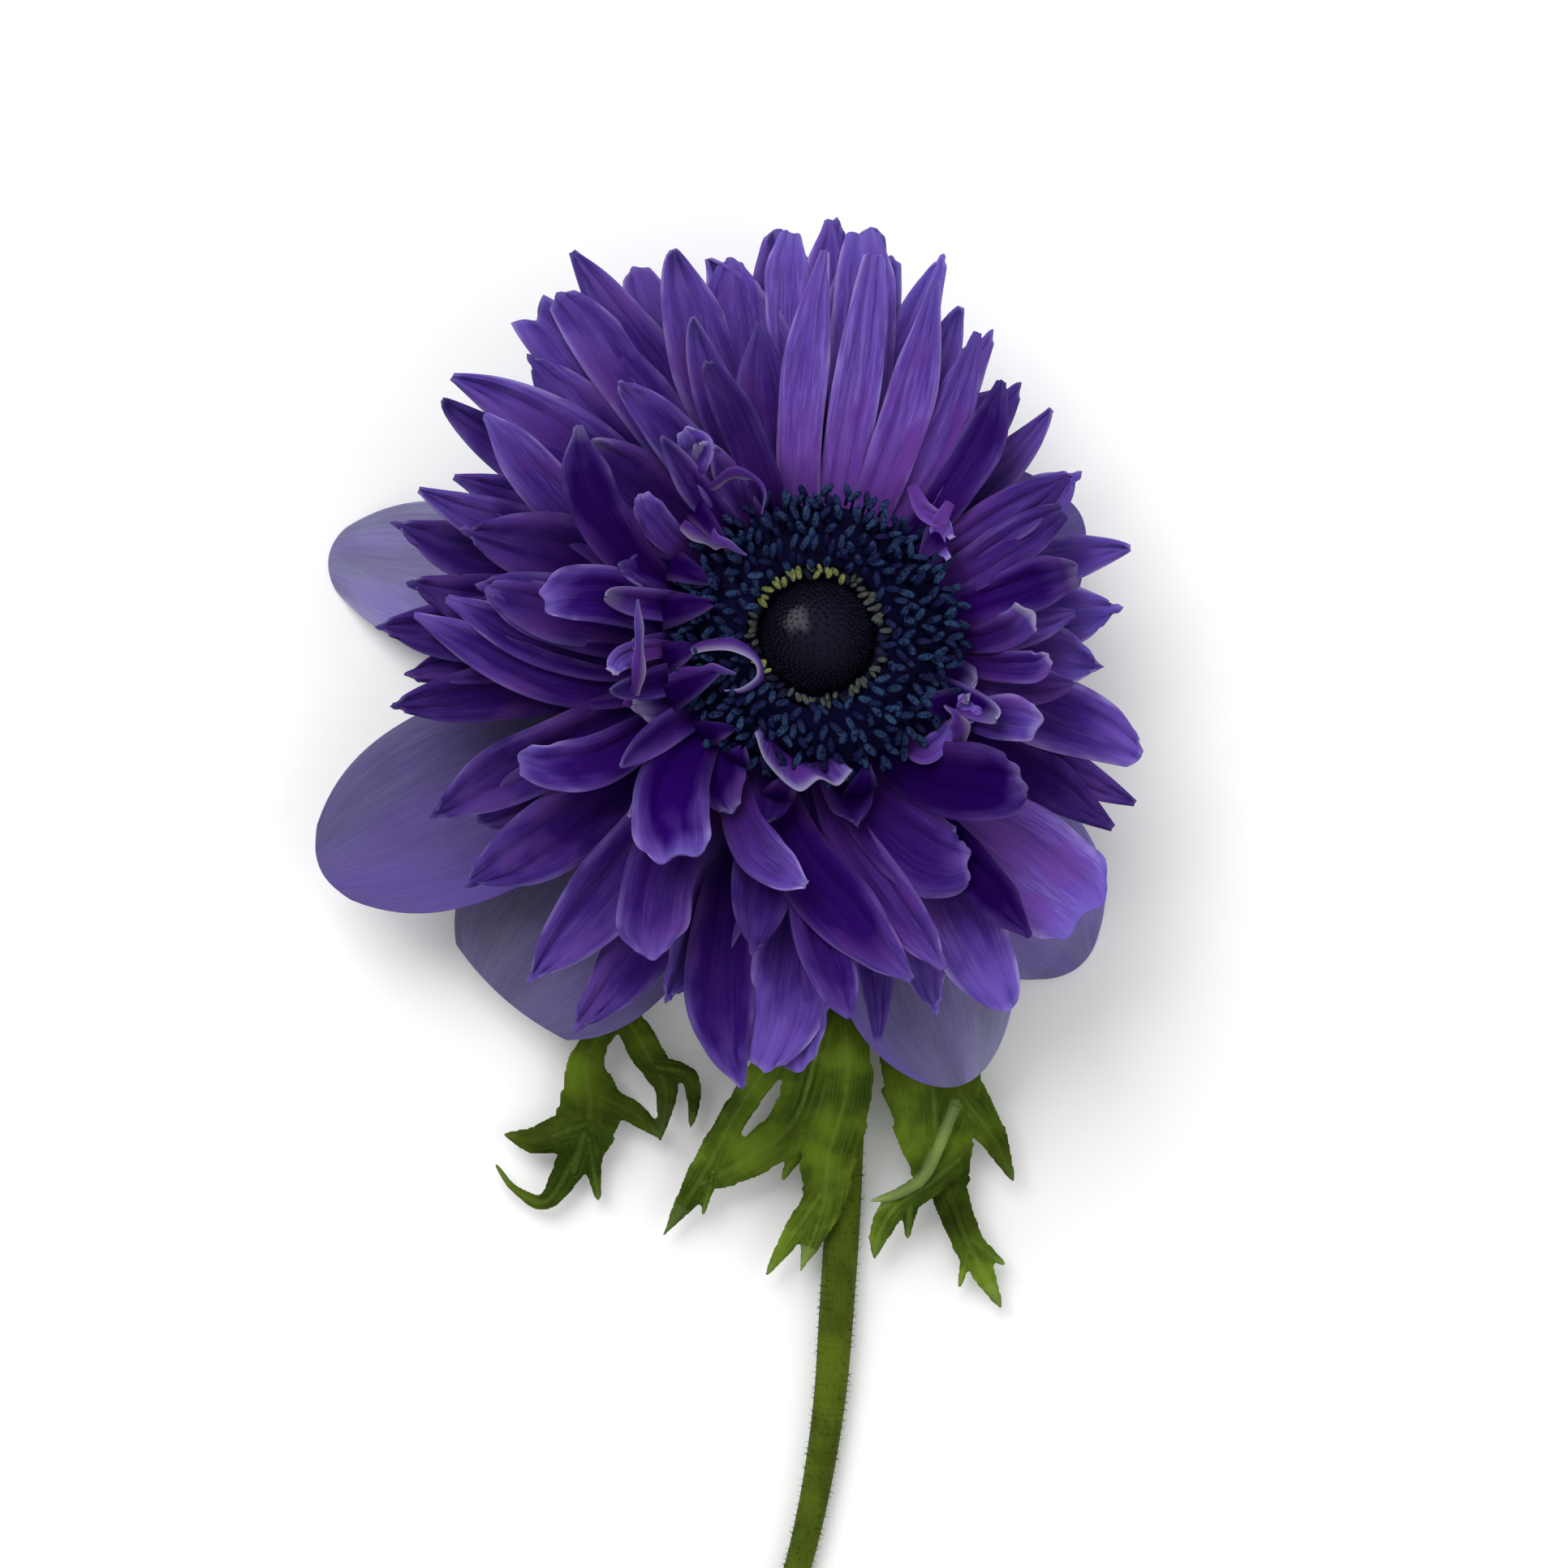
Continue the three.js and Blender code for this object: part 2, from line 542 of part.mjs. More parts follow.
/** The stamens: filaments with fat anthers, on a bed that curves up under the outer ones. */
function makeStamens() {
  const inner = POLLEN_RING_OUTER + CLEARANCE;
  const under = STAMEN_BED_TOP - STAMEN_BED_THICKNESS;
  const profile = [
    [inner, DISC_SEAT],
    [inner + STAMEN_FOOT_WIDTH, DISC_SEAT],
    [inner + 3 * STAMEN_FOOT_WIDTH, under],
    [STAMEN_BED_OUTER, under],
    [STAMEN_BED_OUTER, STAMEN_BED_TOP - STAMEN_BED_FALL],
    [inner, STAMEN_BED_TOP],
    [inner, DISC_SEAT],
  ];
  const solids = [toSolid(turned(profile, RING_SEGMENTS))];
  STAMEN_RINGS.forEach(([radius, count, length, lean], row) => {
    for (let i = 0; i < count; i += 1) {
      const outline = [[0, 0], [FILAMENT_RADIUS, 0], [ANTHER_RADIUS, ANTHER_SHARE * length], [0, length]];
      const stamen = turned(outline, 3);
      stamen.rotateY(THREE.MathUtils.degToRad(lean));
      stamen.translate(radius, 0, STAMEN_BED_TOP - STAMEN_BED_FALL - STAMEN_SINK);
      stamen.rotateZ((2 * Math.PI * (i + row / 2)) / count);
      solids.push(toSolid(stamen));
    }
  });
  return fuse(solids);
}

/** The broken ring of small pollen-bearing anthers round the dome. */
function makePollenRing() {
  const inner = DOME_RADIUS + CLEARANCE;
  const solids = [toSolid(ring(inner, POLLEN_RING_OUTER, DISC_SEAT, POLLEN_RING_TOP, RING_SEGMENTS))];
  const middle = (inner + POLLEN_RING_OUTER) / 2;
  for (let i = 0; i < POLLEN_BEADS; i += 1) {
    const bead = weld(new THREE.OctahedronGeometry(POLLEN_BEAD_RADIUS));
    bead.scale(...POLLEN_BEAD_SHAPE);
    const unevenness = POLLEN_BEAD_UNEVEN * Math.sin(5 * i);
    bead.translate(middle, 0, POLLEN_RING_TOP + POLLEN_BEAD_RADIUS / 2 + unevenness);
    bead.rotateZ((2 * Math.PI * (i + 0.5)) / POLLEN_BEADS);
    solids.push(toSolid(bead));
  }
  return fuse(solids);
}

/** The dome of styles: a turned dome whose surface is raised in a pattern of small bumps. */
function makeDome() {
  const tall = DOME_TOP - DISC_SEAT;
  const profile = [[0, DISC_SEAT], [DOME_RADIUS, DISC_SEAT]];
  for (let row = 1; row < DOME_ROWS; row += 1) {
    const angle = (Math.PI / 2) * (row / DOME_ROWS);
    profile.push([DOME_RADIUS * Math.cos(angle) ** DOME_FULLNESS, DISC_SEAT + tall * Math.sin(angle)]);
  }
  profile.push([0, DOME_TOP]);
  const dome = turned(profile, RING_SEGMENTS);
  const position = dome.attributes.position;
  for (let i = 0; i < position.count; i += 1) {
    const [x, y, z] = [position.getX(i), position.getY(i), position.getZ(i)];
    const row = Math.round((Math.asin((z - DISC_SEAT) / tall) / (Math.PI / 2)) * DOME_ROWS);
    if (row > 0 && row < DOME_ROWS) {
      const wave = Math.cos((RING_SEGMENTS / 2) * Math.atan2(y, x) + Math.PI * row);
      const inset = 1 - DOME_BUMP * (1 + wave);
      position.setXYZ(i, x * inset, y * inset, z);
    }
  }
  return dome;
}

// The flower

const flower = new THREE.Group();

/** Adds a named piece with its own material. */
function addPiece(name, geometry, color, roughness = 0.6) {
  geometry.computeVertexNormals();
  const material = new THREE.MeshStandardMaterial({ color, roughness, metalness: 0 });
  const piece = new THREE.Mesh(geometry, material);
  piece.name = name;
  flower.add(piece);
}

addPiece("stem", makeStalk(), COLOURS.stalk, 0.5);
addPiece("bract_left", fuse(BRACT_LEFT.map(makeLobe)), COLOURS.bract);
addPiece("bract_front", fuse(BRACT_FRONT.map(makeLobe)), COLOURS.bract);
addPiece("bract_right", fuse(BRACT_RIGHT.map(makeLobe)), COLOURS.bract);
TEPALS.forEach((tepal, index) => addPiece(`tepal_${index + 1}`, makeTepal(tepal), COLOURS.tepal));
addPiece("petals_lower", makeRing(LOWER_RING, LOWER_PETALS), COLOURS.lowerPetal);
addPiece("petals_middle", makeRing(MIDDLE_RING, MIDDLE_PETALS), COLOURS.middlePetal);
const petaloids = PETALOIDS.map(makePetaloid);
addPiece("petals_upper", makeRing(UPPER_RING, UPPER_PETALS, petaloids), COLOURS.upperPetal);
addPiece("stamens", makeStamens(), COLOURS.stamen, 0.8);
addPiece("pollen_ring", makePollenRing(), COLOURS.pollen, 0.8);
addPiece("pistil_dome", makeDome(), COLOURS.dome, 0.9);

const box = new THREE.Box3().setFromObject(flower);
const middle = box.getCenter(new THREE.Vector3());
flower.position.set(-middle.x, -middle.y, -box.min.z);

export default flower;
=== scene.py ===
# %% [markdown]
# # A cut anemone, petal by petal
#
# This is a crown anemone in its double garden form, cut and laid on its back. Broad greyish
# tepals and three rings of narrow violet petals surround a dark disc of stamens with a velvety dome
# in its middle. Three lacy green bracts sit on the stalk behind the bloom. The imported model
# already holds every piece at its real size in flat facets. In this lesson each node is replaced
# by a finer piece that keeps its form and adds ribs, curled edges, veins, hairs and colour.

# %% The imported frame
import math
import random
from collections import namedtuple

import bmesh
import bpy
from mathutils import Matrix, Vector, noise
from mathutils.kdtree import KDTree


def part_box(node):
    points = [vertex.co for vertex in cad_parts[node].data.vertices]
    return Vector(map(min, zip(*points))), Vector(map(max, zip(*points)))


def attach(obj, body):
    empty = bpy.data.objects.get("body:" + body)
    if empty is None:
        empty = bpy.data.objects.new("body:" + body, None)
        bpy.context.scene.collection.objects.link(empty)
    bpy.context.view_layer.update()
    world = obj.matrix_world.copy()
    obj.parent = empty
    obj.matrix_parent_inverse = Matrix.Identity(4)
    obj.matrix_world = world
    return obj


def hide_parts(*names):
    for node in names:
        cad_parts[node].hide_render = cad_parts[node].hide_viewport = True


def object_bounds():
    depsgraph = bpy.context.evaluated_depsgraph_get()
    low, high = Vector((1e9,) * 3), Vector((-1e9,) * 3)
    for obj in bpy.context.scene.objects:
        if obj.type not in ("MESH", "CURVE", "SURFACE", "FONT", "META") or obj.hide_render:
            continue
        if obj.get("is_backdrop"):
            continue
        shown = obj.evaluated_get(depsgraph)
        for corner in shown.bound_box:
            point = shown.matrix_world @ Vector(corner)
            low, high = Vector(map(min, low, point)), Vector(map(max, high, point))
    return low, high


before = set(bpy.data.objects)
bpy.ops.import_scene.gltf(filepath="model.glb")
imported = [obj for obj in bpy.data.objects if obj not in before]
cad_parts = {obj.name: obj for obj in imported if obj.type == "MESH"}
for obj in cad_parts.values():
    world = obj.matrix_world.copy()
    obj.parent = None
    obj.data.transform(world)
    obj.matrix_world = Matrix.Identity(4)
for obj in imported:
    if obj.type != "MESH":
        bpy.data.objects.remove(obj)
cad_box = [list(corner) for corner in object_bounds()]
MM = 0.001
print("nodes", len(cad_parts), "box", cad_box)

# %% [markdown]
# ## Working in the bloom's own millimetres
#
# A flower is easiest to describe round the axis of its bloom, so every shape below is modelled in
# millimetres with the axis at x = 0, y = 0 and the surface at z = 0. The dome sits on that axis, so
# the middle of its box says where the axis is in the frame. The last step of each piece scales it
# to metres and moves it there. The object itself stays at the origin, as the frame's own do.

# %% The bloom's axis and the last step of each piece
dome_low, dome_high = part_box("pistil_dome")
AXIS = Vector(((dome_low.x + dome_high.x) / 2, (dome_low.y + dome_high.y) / 2, 0))
SHARP_ANGLE = math.radians(55)
triangle_counts = {}


def finish_piece(bm, name, material, node):
    """Turns a bmesh in the bloom's millimetres into a named piece that stands for a node."""
    bmesh.ops.scale(bm, vec=(MM, MM, MM), verts=bm.verts)
    bmesh.ops.translate(bm, vec=AXIS, verts=bm.verts)
    mesh = bpy.data.meshes.new(name)
    bm.to_mesh(mesh)
    bm.free()
    mesh.shade_smooth()
    mesh.set_sharp_from_angle(angle=SHARP_ANGLE)
    mesh.materials.append(material)
    piece = bpy.data.objects.new(name, mesh)
    bpy.context.collection.objects.link(piece)
    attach(piece, "root")
    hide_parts(node)
    triangle_counts[name] = sum(len(face.vertices) - 2 for face in mesh.polygons)
    print(name, triangle_counts[name], "triangles")


print("bloom axis", tuple(round(value, 4) for value in AXIS))

# %% [markdown]
# ## The camera
#
# The photograph looks straight down on the bloom. The camera stands 600 mm above the surface with
# a long lens, so that the petals near it don't swell. In the photograph one pixel is about 0.09 mm
# at the height of the petals, which gives the lens. The middle of the picture lies a little to the
# left of the bloom's axis and below it.

# %% Looking straight down
CAMERA_HEIGHT = 0.6
PICTURE_WIDTH_PX = 1932
FOCAL_PX = 6422
PICTURE_MIDDLE = Vector((-3.7, -16.3, 0)) * MM

camera_data = bpy.data.cameras.new("camera")
camera_data.lens = camera_data.sensor_width * FOCAL_PX / PICTURE_WIDTH_PX
camera = bpy.data.objects.new("camera", camera_data)
camera.location = AXIS + PICTURE_MIDDLE + Vector((0, 0, CAMERA_HEIGHT))
bpy.context.collection.objects.link(camera)
bpy.context.scene.camera = camera
print("lens", round(camera_data.lens, 1), "mm")

# %% [markdown]
# ## The floor and the light
#
# The flower lies on a plain near-white surface. The photograph's light is soft and comes from the
# upper left, so one broad lamp hangs there, a weaker one fills the other side, and a pale sky
# keeps the shadows open. The standard view keeps the violets as they are mixed.

# %% The floor, two lamps and the sky
scene = bpy.context.scene
scene.view_settings.view_transform = "Standard"
scene.view_settings.look = "None"

FLOOR_HALF_SIDE = 3
FLOOR_WHITE = (0.93, 0.93, 0.93, 1)
floor_bm = bmesh.new()
bmesh.ops.create_grid(floor_bm, x_segments=1, y_segments=1, size=FLOOR_HALF_SIDE)
floor_mesh = bpy.data.meshes.new("floor")
floor_bm.to_mesh(floor_mesh)
floor_bm.free()
floor_material = bpy.data.materials.new("floor paper")
floor_material.use_nodes = True
floor_shader = floor_material.node_tree.nodes["Principled BSDF"]
floor_shader.inputs["Base Color"].default_value = FLOOR_WHITE
floor_shader.inputs["Roughness"].default_value = 0.9
floor_mesh.materials.append(floor_material)
floor = bpy.data.objects.new("floor", floor_mesh)
bpy.context.collection.objects.link(floor)
floor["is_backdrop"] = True

BLOOM_MIDDLE = AXIS + Vector((0, 0, 0.025))


def add_lamp(name, place, size, watts):
    """A square soft lamp that looks at the bloom."""
    data = bpy.data.lights.new(name, "AREA")
    data.size = size
    data.energy = watts
    lamp = bpy.data.objects.new(name, data)
    lamp.location = BLOOM_MIDDLE + Vector(place)
    lamp.rotation_euler = (-Vector(place)).to_track_quat("-Z", "Y").to_euler()
    bpy.context.collection.objects.link(lamp)


add_lamp("key lamp", (-0.45, 0.75, 0.95), 0.9, 13)
add_lamp("fill lamp", (0.8, -0.2, 0.9), 0.9, 2.5)
SKY_STRENGTH = 0.66
world = bpy.data.worlds.new("sky")
world.use_nodes = True
sky = world.node_tree.nodes["Background"].inputs
sky["Color"].default_value = (1, 1, 1, 1)
sky["Strength"].default_value = SKY_STRENGTH
scene.world = world
print("lamps", [item.name for item in bpy.data.lights])

# %% [markdown]
# ## Small tools for node trees
#
# Every finish here is mixed from a few shader nodes. One helper adds a node and fills its sockets,
# either with a value or with a wire from another node. Short ones cover what is used most: a sum,
# a soft step, a mix of two colours, a noise, and the numbers that each vertex carries.

# %% Node helpers


def add_node(tree, kind, sockets, **settings):
    """Adds a node. Its sockets, by name or number, take a value or another node's output."""
    node = tree.nodes.new(kind)
    for name, value in settings.items():
        setattr(node, name, value)
    for socket, value in sockets.items():
        if isinstance(value, bpy.types.NodeSocket):
            tree.links.new(value, node.inputs[socket])
        else:
            node.inputs[socket].default_value = value
    return node


def calculate(tree, operation, *values, clamp=False):
    """The result of a sum on one, two or three values."""
    sockets = dict(enumerate(values))
    return add_node(tree, "ShaderNodeMath", sockets, operation=operation, use_clamp=clamp).outputs[0]


def product(tree, first, second):
    """Two shares multiplied, kept between 0 and 1."""
    return calculate(tree, "MULTIPLY", first, second, clamp=True)


def soft_step(tree, value, low, high, start=0.0, end=1.0):
    """Runs from start to end as the value goes from low to high."""
    sockets = {"Value": value, "From Min": low, "From Max": high, "To Min": start, "To Max": end}
    return add_node(tree, "ShaderNodeMapRange", sockets, interpolation_type="SMOOTHSTEP").outputs["Result"]


def mix_colours(tree, share, first, second):
    """The first colour where the share is 0 and the second where it is 1."""
    return add_node(tree, "ShaderNodeMix", {0: share, 6: first, 7: second}, data_type="RGBA").outputs[2]


def brighten(tree, colour, shade):
    """A colour made lighter or darker by a factor."""
    return add_node(tree, "ShaderNodeHueSaturation", {"Value": shade, "Color": colour}).outputs["Color"]


def noise_at(tree, place, scale, detail, roughness=0.5):
    """A noise value at a place."""
    sockets = {"Vector": place, "Scale": scale, "Detail": detail, "Roughness": roughness}
    return add_node(tree, "ShaderNodeTexNoise", sockets).outputs["Fac"]


def attribute(tree, name):
    """The vector that each vertex carries under a name."""
    return add_node(tree, "ShaderNodeAttribute", {}, attribute_name=name).outputs["Vector"]


def parts(tree, vector):
    """The three numbers of a vector."""
    return add_node(tree, "ShaderNodeSeparateXYZ", {0: vector}).outputs


def stretch(tree, vector, factors):
    """A vector with each number multiplied by its own factor."""
    return add_node(tree, "ShaderNodeVectorMath", {0: vector, 1: factors}, operation="MULTIPLY").outputs[0]


def new_group(name, inputs, outputs):
    """An empty shader node group with sockets for named numbers and colours, and its end nodes."""
    group = bpy.data.node_groups.new(name, "ShaderNodeTree")
    for in_out, sockets in (("INPUT", inputs), ("OUTPUT", outputs)):
        for socket_name, value in sockets.items():
            kind = "NodeSocketColor" if isinstance(value, tuple) else "NodeSocketFloat"
            socket = group.interface.new_socket(socket_name, in_out=in_out, socket_type=kind)
            socket.default_value = value
    return group, group.nodes.new("NodeGroupInput").outputs, group.nodes.new("NodeGroupOutput").inputs


def end_group(group, ends, results):
    """Wires the results of a group to its outputs."""
    for socket, result in results.items():
        group.links.new(result, ends[socket])
    print("group", group.name, "with", len(group.nodes), "nodes")


def new_material(name, sockets):
    """A material whose Principled shader has its constant sockets set, with its tree and shader."""
    material = bpy.data.materials.new(name)
    material.use_nodes = True
    shader = material.node_tree.nodes["Principled BSDF"]
    for socket, value in sockets.items():
        shader.inputs[socket].default_value = value
    return material, material.node_tree, shader


def dress(tree, shader, results, height, strength, depth):
    """Wires results to the shader's sockets, and a height to its bumps, so many millimetres deep."""
    bump = add_node(tree, "ShaderNodeBump", {"Height": height, "Strength": strength, "Distance": depth * MM})
    for socket, result in (results | {"Normal": bump.outputs["Normal"]}).items():
        tree.links.new(result, shader.inputs[socket])


# %% [markdown]
# ## Blade finish, shared by petals, tepals and bracts
#
# A petal is built of long cells, so its colour runs in fine streaks from root to tip: dark grooves,
# lighter ribs and a thin pale rim where the tissue is only a few cells thick. On the petals the
# streaks are partly their own colour and partly painted light and shade of the pleats: painted light
# on the ribs, painted shade in the grooves and a painted highlight along the rim. One node group makes
# those masks from the blade's own coordinates, which every blade below carries as attributes: where a
# point lies across and along it, in shares and in millimetres. Noise that is stretched along the
# blade gives ribs that fork and fade, as no plain stripe does.

# %% The lengthwise grain group
VEIN_GAP = 0.28
STREAK_STRETCH = 0.06
STREAKS_PER_RIB = 3.6
grain, grain_given, grain_ends = new_group(
    "lengthwise grain",
    {"Rib Spacing": 1.1, "Rim Start": 0.8},
    dict.fromkeys(("Rib", "Streak", "Rim", "Vein", "Height"), 0.0),
)
across = parts(grain, attribute(grain, "blade_share"))["X"]
squeezed = stretch(grain, attribute(grain, "blade_mm"), (1, STREAK_STRETCH, 1))
rib_scale = calculate(grain, "DIVIDE", 1.0, grain_given["Rib Spacing"])
rib_noise = noise_at(grain, squeezed, rib_scale, 2.0)
streak_scale = calculate(grain, "MULTIPLY", rib_scale, STREAKS_PER_RIB)
streak_noise = noise_at(grain, squeezed, streak_scale, 3.0, 0.6)
rib = soft_step(grain, rib_noise, 0.36, 0.66)
streak = soft_step(grain, streak_noise, 0.35, 0.7)
rim = soft_step(grain, calculate(grain, "ABSOLUTE", across), grain_given["Rim Start"], 1.0)
wobble = calculate(grain, "MULTIPLY_ADD", rib_noise, 0.5, across)
vein = soft_step(grain, calculate(grain, "PINGPONG", wobble, VEIN_GAP), 0.0, 0.07, 1.0, 0.0)
height = calculate(grain, "ADD", product(grain, rib, 0.7), product(grain, streak, 0.3), clamp=True)
end_group(grain, grain_ends, {"Rib": rib, "Streak": streak, "Rim": rim, "Vein": vein, "Height": height})

# %% [markdown]
# ## The petals' tissue
#
# A narrow petal is violet-blue with a satin surface. Along its middle, where it is folded, lies a
# deep indigo heart that fades towards the edges and the tip; it is partly the petal's own colour and
# partly painted shade in the fold. The root is plum and darker, partly as painted shade where the
# petals crowd at the collar, the tip bluer, the rim a thin pale lilac line that is partly a painted
# highlight, and some petals end in a whitish curl. The blades' own coordinates say where each of these
# goes, and three more numbers on each vertex say how light it is, how pale and how deep its heart is.
# How light it is carries painted light and shade as well as the petal's own tone: it lightens or
# darkens the whole colour. All of it sits in one group, which every petal finish below fills with its
# own colours.

# %% The petal tissue group
BLACK = (0, 0, 0, 1)
TISSUE_COLOURS = ("Face", "Light", "Rib", "Groove", "Root", "Heart", "Mauve", "Tip", "Rim", "Curl")
tissue, given, tissue_ends = new_group(
    "petal tissue",
    dict.fromkeys(TISSUE_COLOURS, BLACK) | {"Rib Spacing": 1.1, "Rim Start": 0.85},
    {"Color": BLACK, "Gloss": 0.0, "Height": 0.0},
)
mask_sockets = {name: given[name] for name in ("Rib Spacing", "Rim Start")}
masks = add_node(tissue, "ShaderNodeGroup", mask_sockets, node_tree=grain).outputs
across, along, _ = parts(tissue, attribute(tissue, "blade_share"))
tone, pale, heart = parts(tissue, attribute(tissue, "blade_look"))
lengths = attribute(tissue, "blade_mm")

# Painted light and shade, partly the petal's own streaks: ribs and veins lighter, grooves darker. Ribs,
# veins, tip and rim grow stronger with the tone, which carries painted light.
rib_share = product(tissue, product(tissue, masks["Rib"], tone), 0.8)
vein_share = product(tissue, masks["Vein"], tone)
vein_share = product(tissue, vein_share, soft_step(tissue, along, 0.5, 0.95, 0.8, 0.1))
groove_share = soft_step(tissue, masks["Streak"], 0.0, 1.0, 0.5, 0.0)
clouds = noise_at(tissue, stretch(tissue, lengths, (1.0, 0.5, 1.0)), 0.24, 2.0)
cloud_share = soft_step(tissue, clouds, 0.49, 0.66, 0.0, 0.75)
# The darker root is partly the petal's own plum and partly painted shade where the petals crowd at the
# collar.
root_share = soft_step(tissue, along, 0.1, 0.65, 0.8, 0.0)
root_colour = mix_colours(tissue, product(tissue, heart, 1.2), given["Mauve"], given["Root"])
tip_share = product(tissue, soft_step(tissue, along, 0.6, 1.0, 0.0, 0.8), tone)
# The heart is partly the petal's own indigo and partly painted shade in the fold along its middle.
heart_and_fold_shade = soft_step(tissue, calculate(tissue, "ABSOLUTE", across), 0.3, 1.0, 1.0, 0.0)
heart_and_fold_shade = product(tissue, heart_and_fold_shade, soft_step(tissue, along, 0.55, 1.0, 1.0, 0.0))
heart_cloud = soft_step(tissue, clouds, 0.32, 0.62, 0.7, 0.0)
heart_and_fold_shade = calculate(tissue, "ADD", heart_and_fold_shade, heart_cloud, clamp=True)
heart_and_fold_shade = product(tissue, heart_and_fold_shade, heart)
# The pale rim is partly the thin tissue's own colour and partly a painted highlight along the edge.
rim_noise = noise_at(tissue, lengths, 0.23, 1.0)
rim_share = product(tissue, masks["Rim"], soft_step(tissue, rim_noise, 0.38, 0.62, 0.2, 0.95))
rim_share = product(tissue, rim_share, soft_step(tissue, along, 0.3, 0.9, 0.3, 1.0))
rim_share = product(tissue, rim_share, soft_step(tissue, tone, 0.1, 0.9, 0.1, 1.0))

# Painted light: the tone mixes each petal from its dark face colour towards its light one.
colour = mix_colours(tissue, tone, given["Face"], given["Light"])
for share, layer in (
    (rib_share, given["Rib"]),
    (vein_share, given["Rib"]),
    (groove_share, given["Groove"]),
    (cloud_share, given["Mauve"]),
    (root_share, root_colour),
    (tip_share, given["Tip"]),
    (heart_and_fold_shade, given["Heart"]),
    (rim_share, given["Rim"]),
    (pale, given["Curl"]),
):
    colour = mix_colours(tissue, share, colour, layer)
# Painted light and shade: the tone also lightens or darkens the whole colour.
colour = brighten(tissue, colour, soft_step(tissue, tone, 0.0, 1.0, 0.45, 1.4))
gloss = soft_step(tissue, masks["Streak"], 0.0, 1.0, 0.68, 0.5)
end_group(tissue, tissue_ends, {"Color": colour, "Gloss": gloss, "Height": masks["Height"]})

# %% [markdown]
# The middle and the upper petals are deeper violet than the lower ones, and the upper ones end in
# greyer, whitish curls. The ribs stand out from the surface by a tenth of a millimetre at most.

# %% Petal finishes


def petal_material(name, colours, rim_start, rib_spacing):
    """A satin petal finish with its own colours, ribs and rim."""
    material, tree, shader = new_material(name, {"Specular IOR Level": 0.01})
    sockets = {socket: (*colour, 1) for socket, colour in colours.items()}
    sockets |= {"Rib Spacing": rib_spacing, "Rim Start": rim_start}
    body = add_node(tree, "ShaderNodeGroup", sockets, node_tree=tissue).outputs
    dress(tree, shader, {"Base Color": body["Color"], "Roughness": body["Gloss"]}, body["Height"], 0.4, 0.2)
    return material


LOWER_COLOURS = {
    "Groove": (0.025, 0.004, 0.118),
    "Face": (0.047, 0.007, 0.19),
    "Light": (0.106, 0.06, 0.305),
    "Rib": (0.155, 0.1, 0.37),
    "Root": (0.036, 0.005, 0.1),
    "Heart": (0.016, 0.0005, 0.09),
    "Mauve": (0.098, 0.036, 0.215),
    "Tip": (0.096, 0.062, 0.31),
    "Rim": (0.22, 0.17, 0.4),
    "Curl": (0.29, 0.25, 0.46),
}
MIDDLE_COLOURS = LOWER_COLOURS | {"Face": (0.043, 0.006, 0.18), "Mauve": (0.088, 0.026, 0.195)}
UPPER_COLOURS = MIDDLE_COLOURS | {"Curl": (0.3, 0.27, 0.4)}
lower_petal_finish = petal_material("violet-blue petal", LOWER_COLOURS, 0.76, 1.2)
middle_petal_finish = petal_material("deep violet petal", MIDDLE_COLOURS, 0.76, 1.1)
upper_petal_finish = petal_material("violet petal with pale curls", UPPER_COLOURS, 0.74, 1.0)
print("petal finishes", [item.name for item in bpy.data.materials if "petal" in item.name])

# %% [markdown]
# ## A thin blade
#
# Petals, tepals and bract lobes are all thin blades. Each starts as a flat bmesh grid that is two
# units wide and two long. A place function then moves every vertex: it takes a share across, from
# -1 to 1, and a share along, from 0 to 1, and returns the point on the blade's upper face. The
# shares and lengths are written on the vertices first, so that the finish follows the blade
# wherever it bends. Thickness comes last: the sheet is extruded in place, which leaves a twin of it
# underneath, and the twin is lowered along the sheet's normals, less so at the edges, because a
# petal is thinnest there.

# %% Blades
PETAL_THICKNESS = 0.34
EDGE_THINNING = 0.55
VERTS_PER_GRAIN = 50


def new_blades():
    """An empty bmesh whose vertices carry the three blade attributes."""
    bm = bmesh.new()
    for layer in ("blade_share", "blade_mm", "blade_look"):
        bm.verts.layers.float_vector.new(layer)
    return bm


def add_blade(bm, cells, place, size, thickness, look):
    """Adds a thin blade. look gives three numbers on its colour for a share across and along."""
    layers = bm.verts.layers.float_vector
    own_grain = len(bm.verts) / VERTS_PER_GRAIN
    grid = bmesh.ops.create_grid(bm, x_segments=cells[0], y_segments=cells[1], size=1)
    upper = grid["verts"]
    for vert in upper:
        across = vert.co.x
        along = (vert.co.y + 1) / 2
        vert[layers["blade_share"]] = (across, along, 0)
        vert[layers["blade_mm"]] = (across * size[0] / 2, along * size[1], own_grain)
        vert[layers["blade_look"]] = look(across, along)
        vert.co = place(across, along)
    sheet = list({face for vert in upper for face in vert.link_faces})
    for part in (*sheet, *upper):
        part.normal_update()
    lowered = []
    for vert in upper:
        thinner = 1 - EDGE_THINNING * vert[layers["blade_share"]][0] ** 4
        lowered.append((vert, vert.co - thickness * thinner * vert.normal))
    bmesh.ops.extrude_face_region(bm, geom=sheet, use_keep_orig=True)
    for vert, under in lowered:
        vert.co = under


# %% [markdown]
# ## The shape of a narrow petal
#
# A petal leaves the collar narrow, is widest at about two thirds of its length, and ends pointed,
# round, blunt or notched. All petals of a ring lie on the ring's bowl, like blades on a fan. The
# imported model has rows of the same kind, so each ring keeps its form. What is added is what a
# growing petal has: edges raised more on one petal than on the next, a slow twist, lengthwise
# pleats, ruffled rims and tips that roll up.

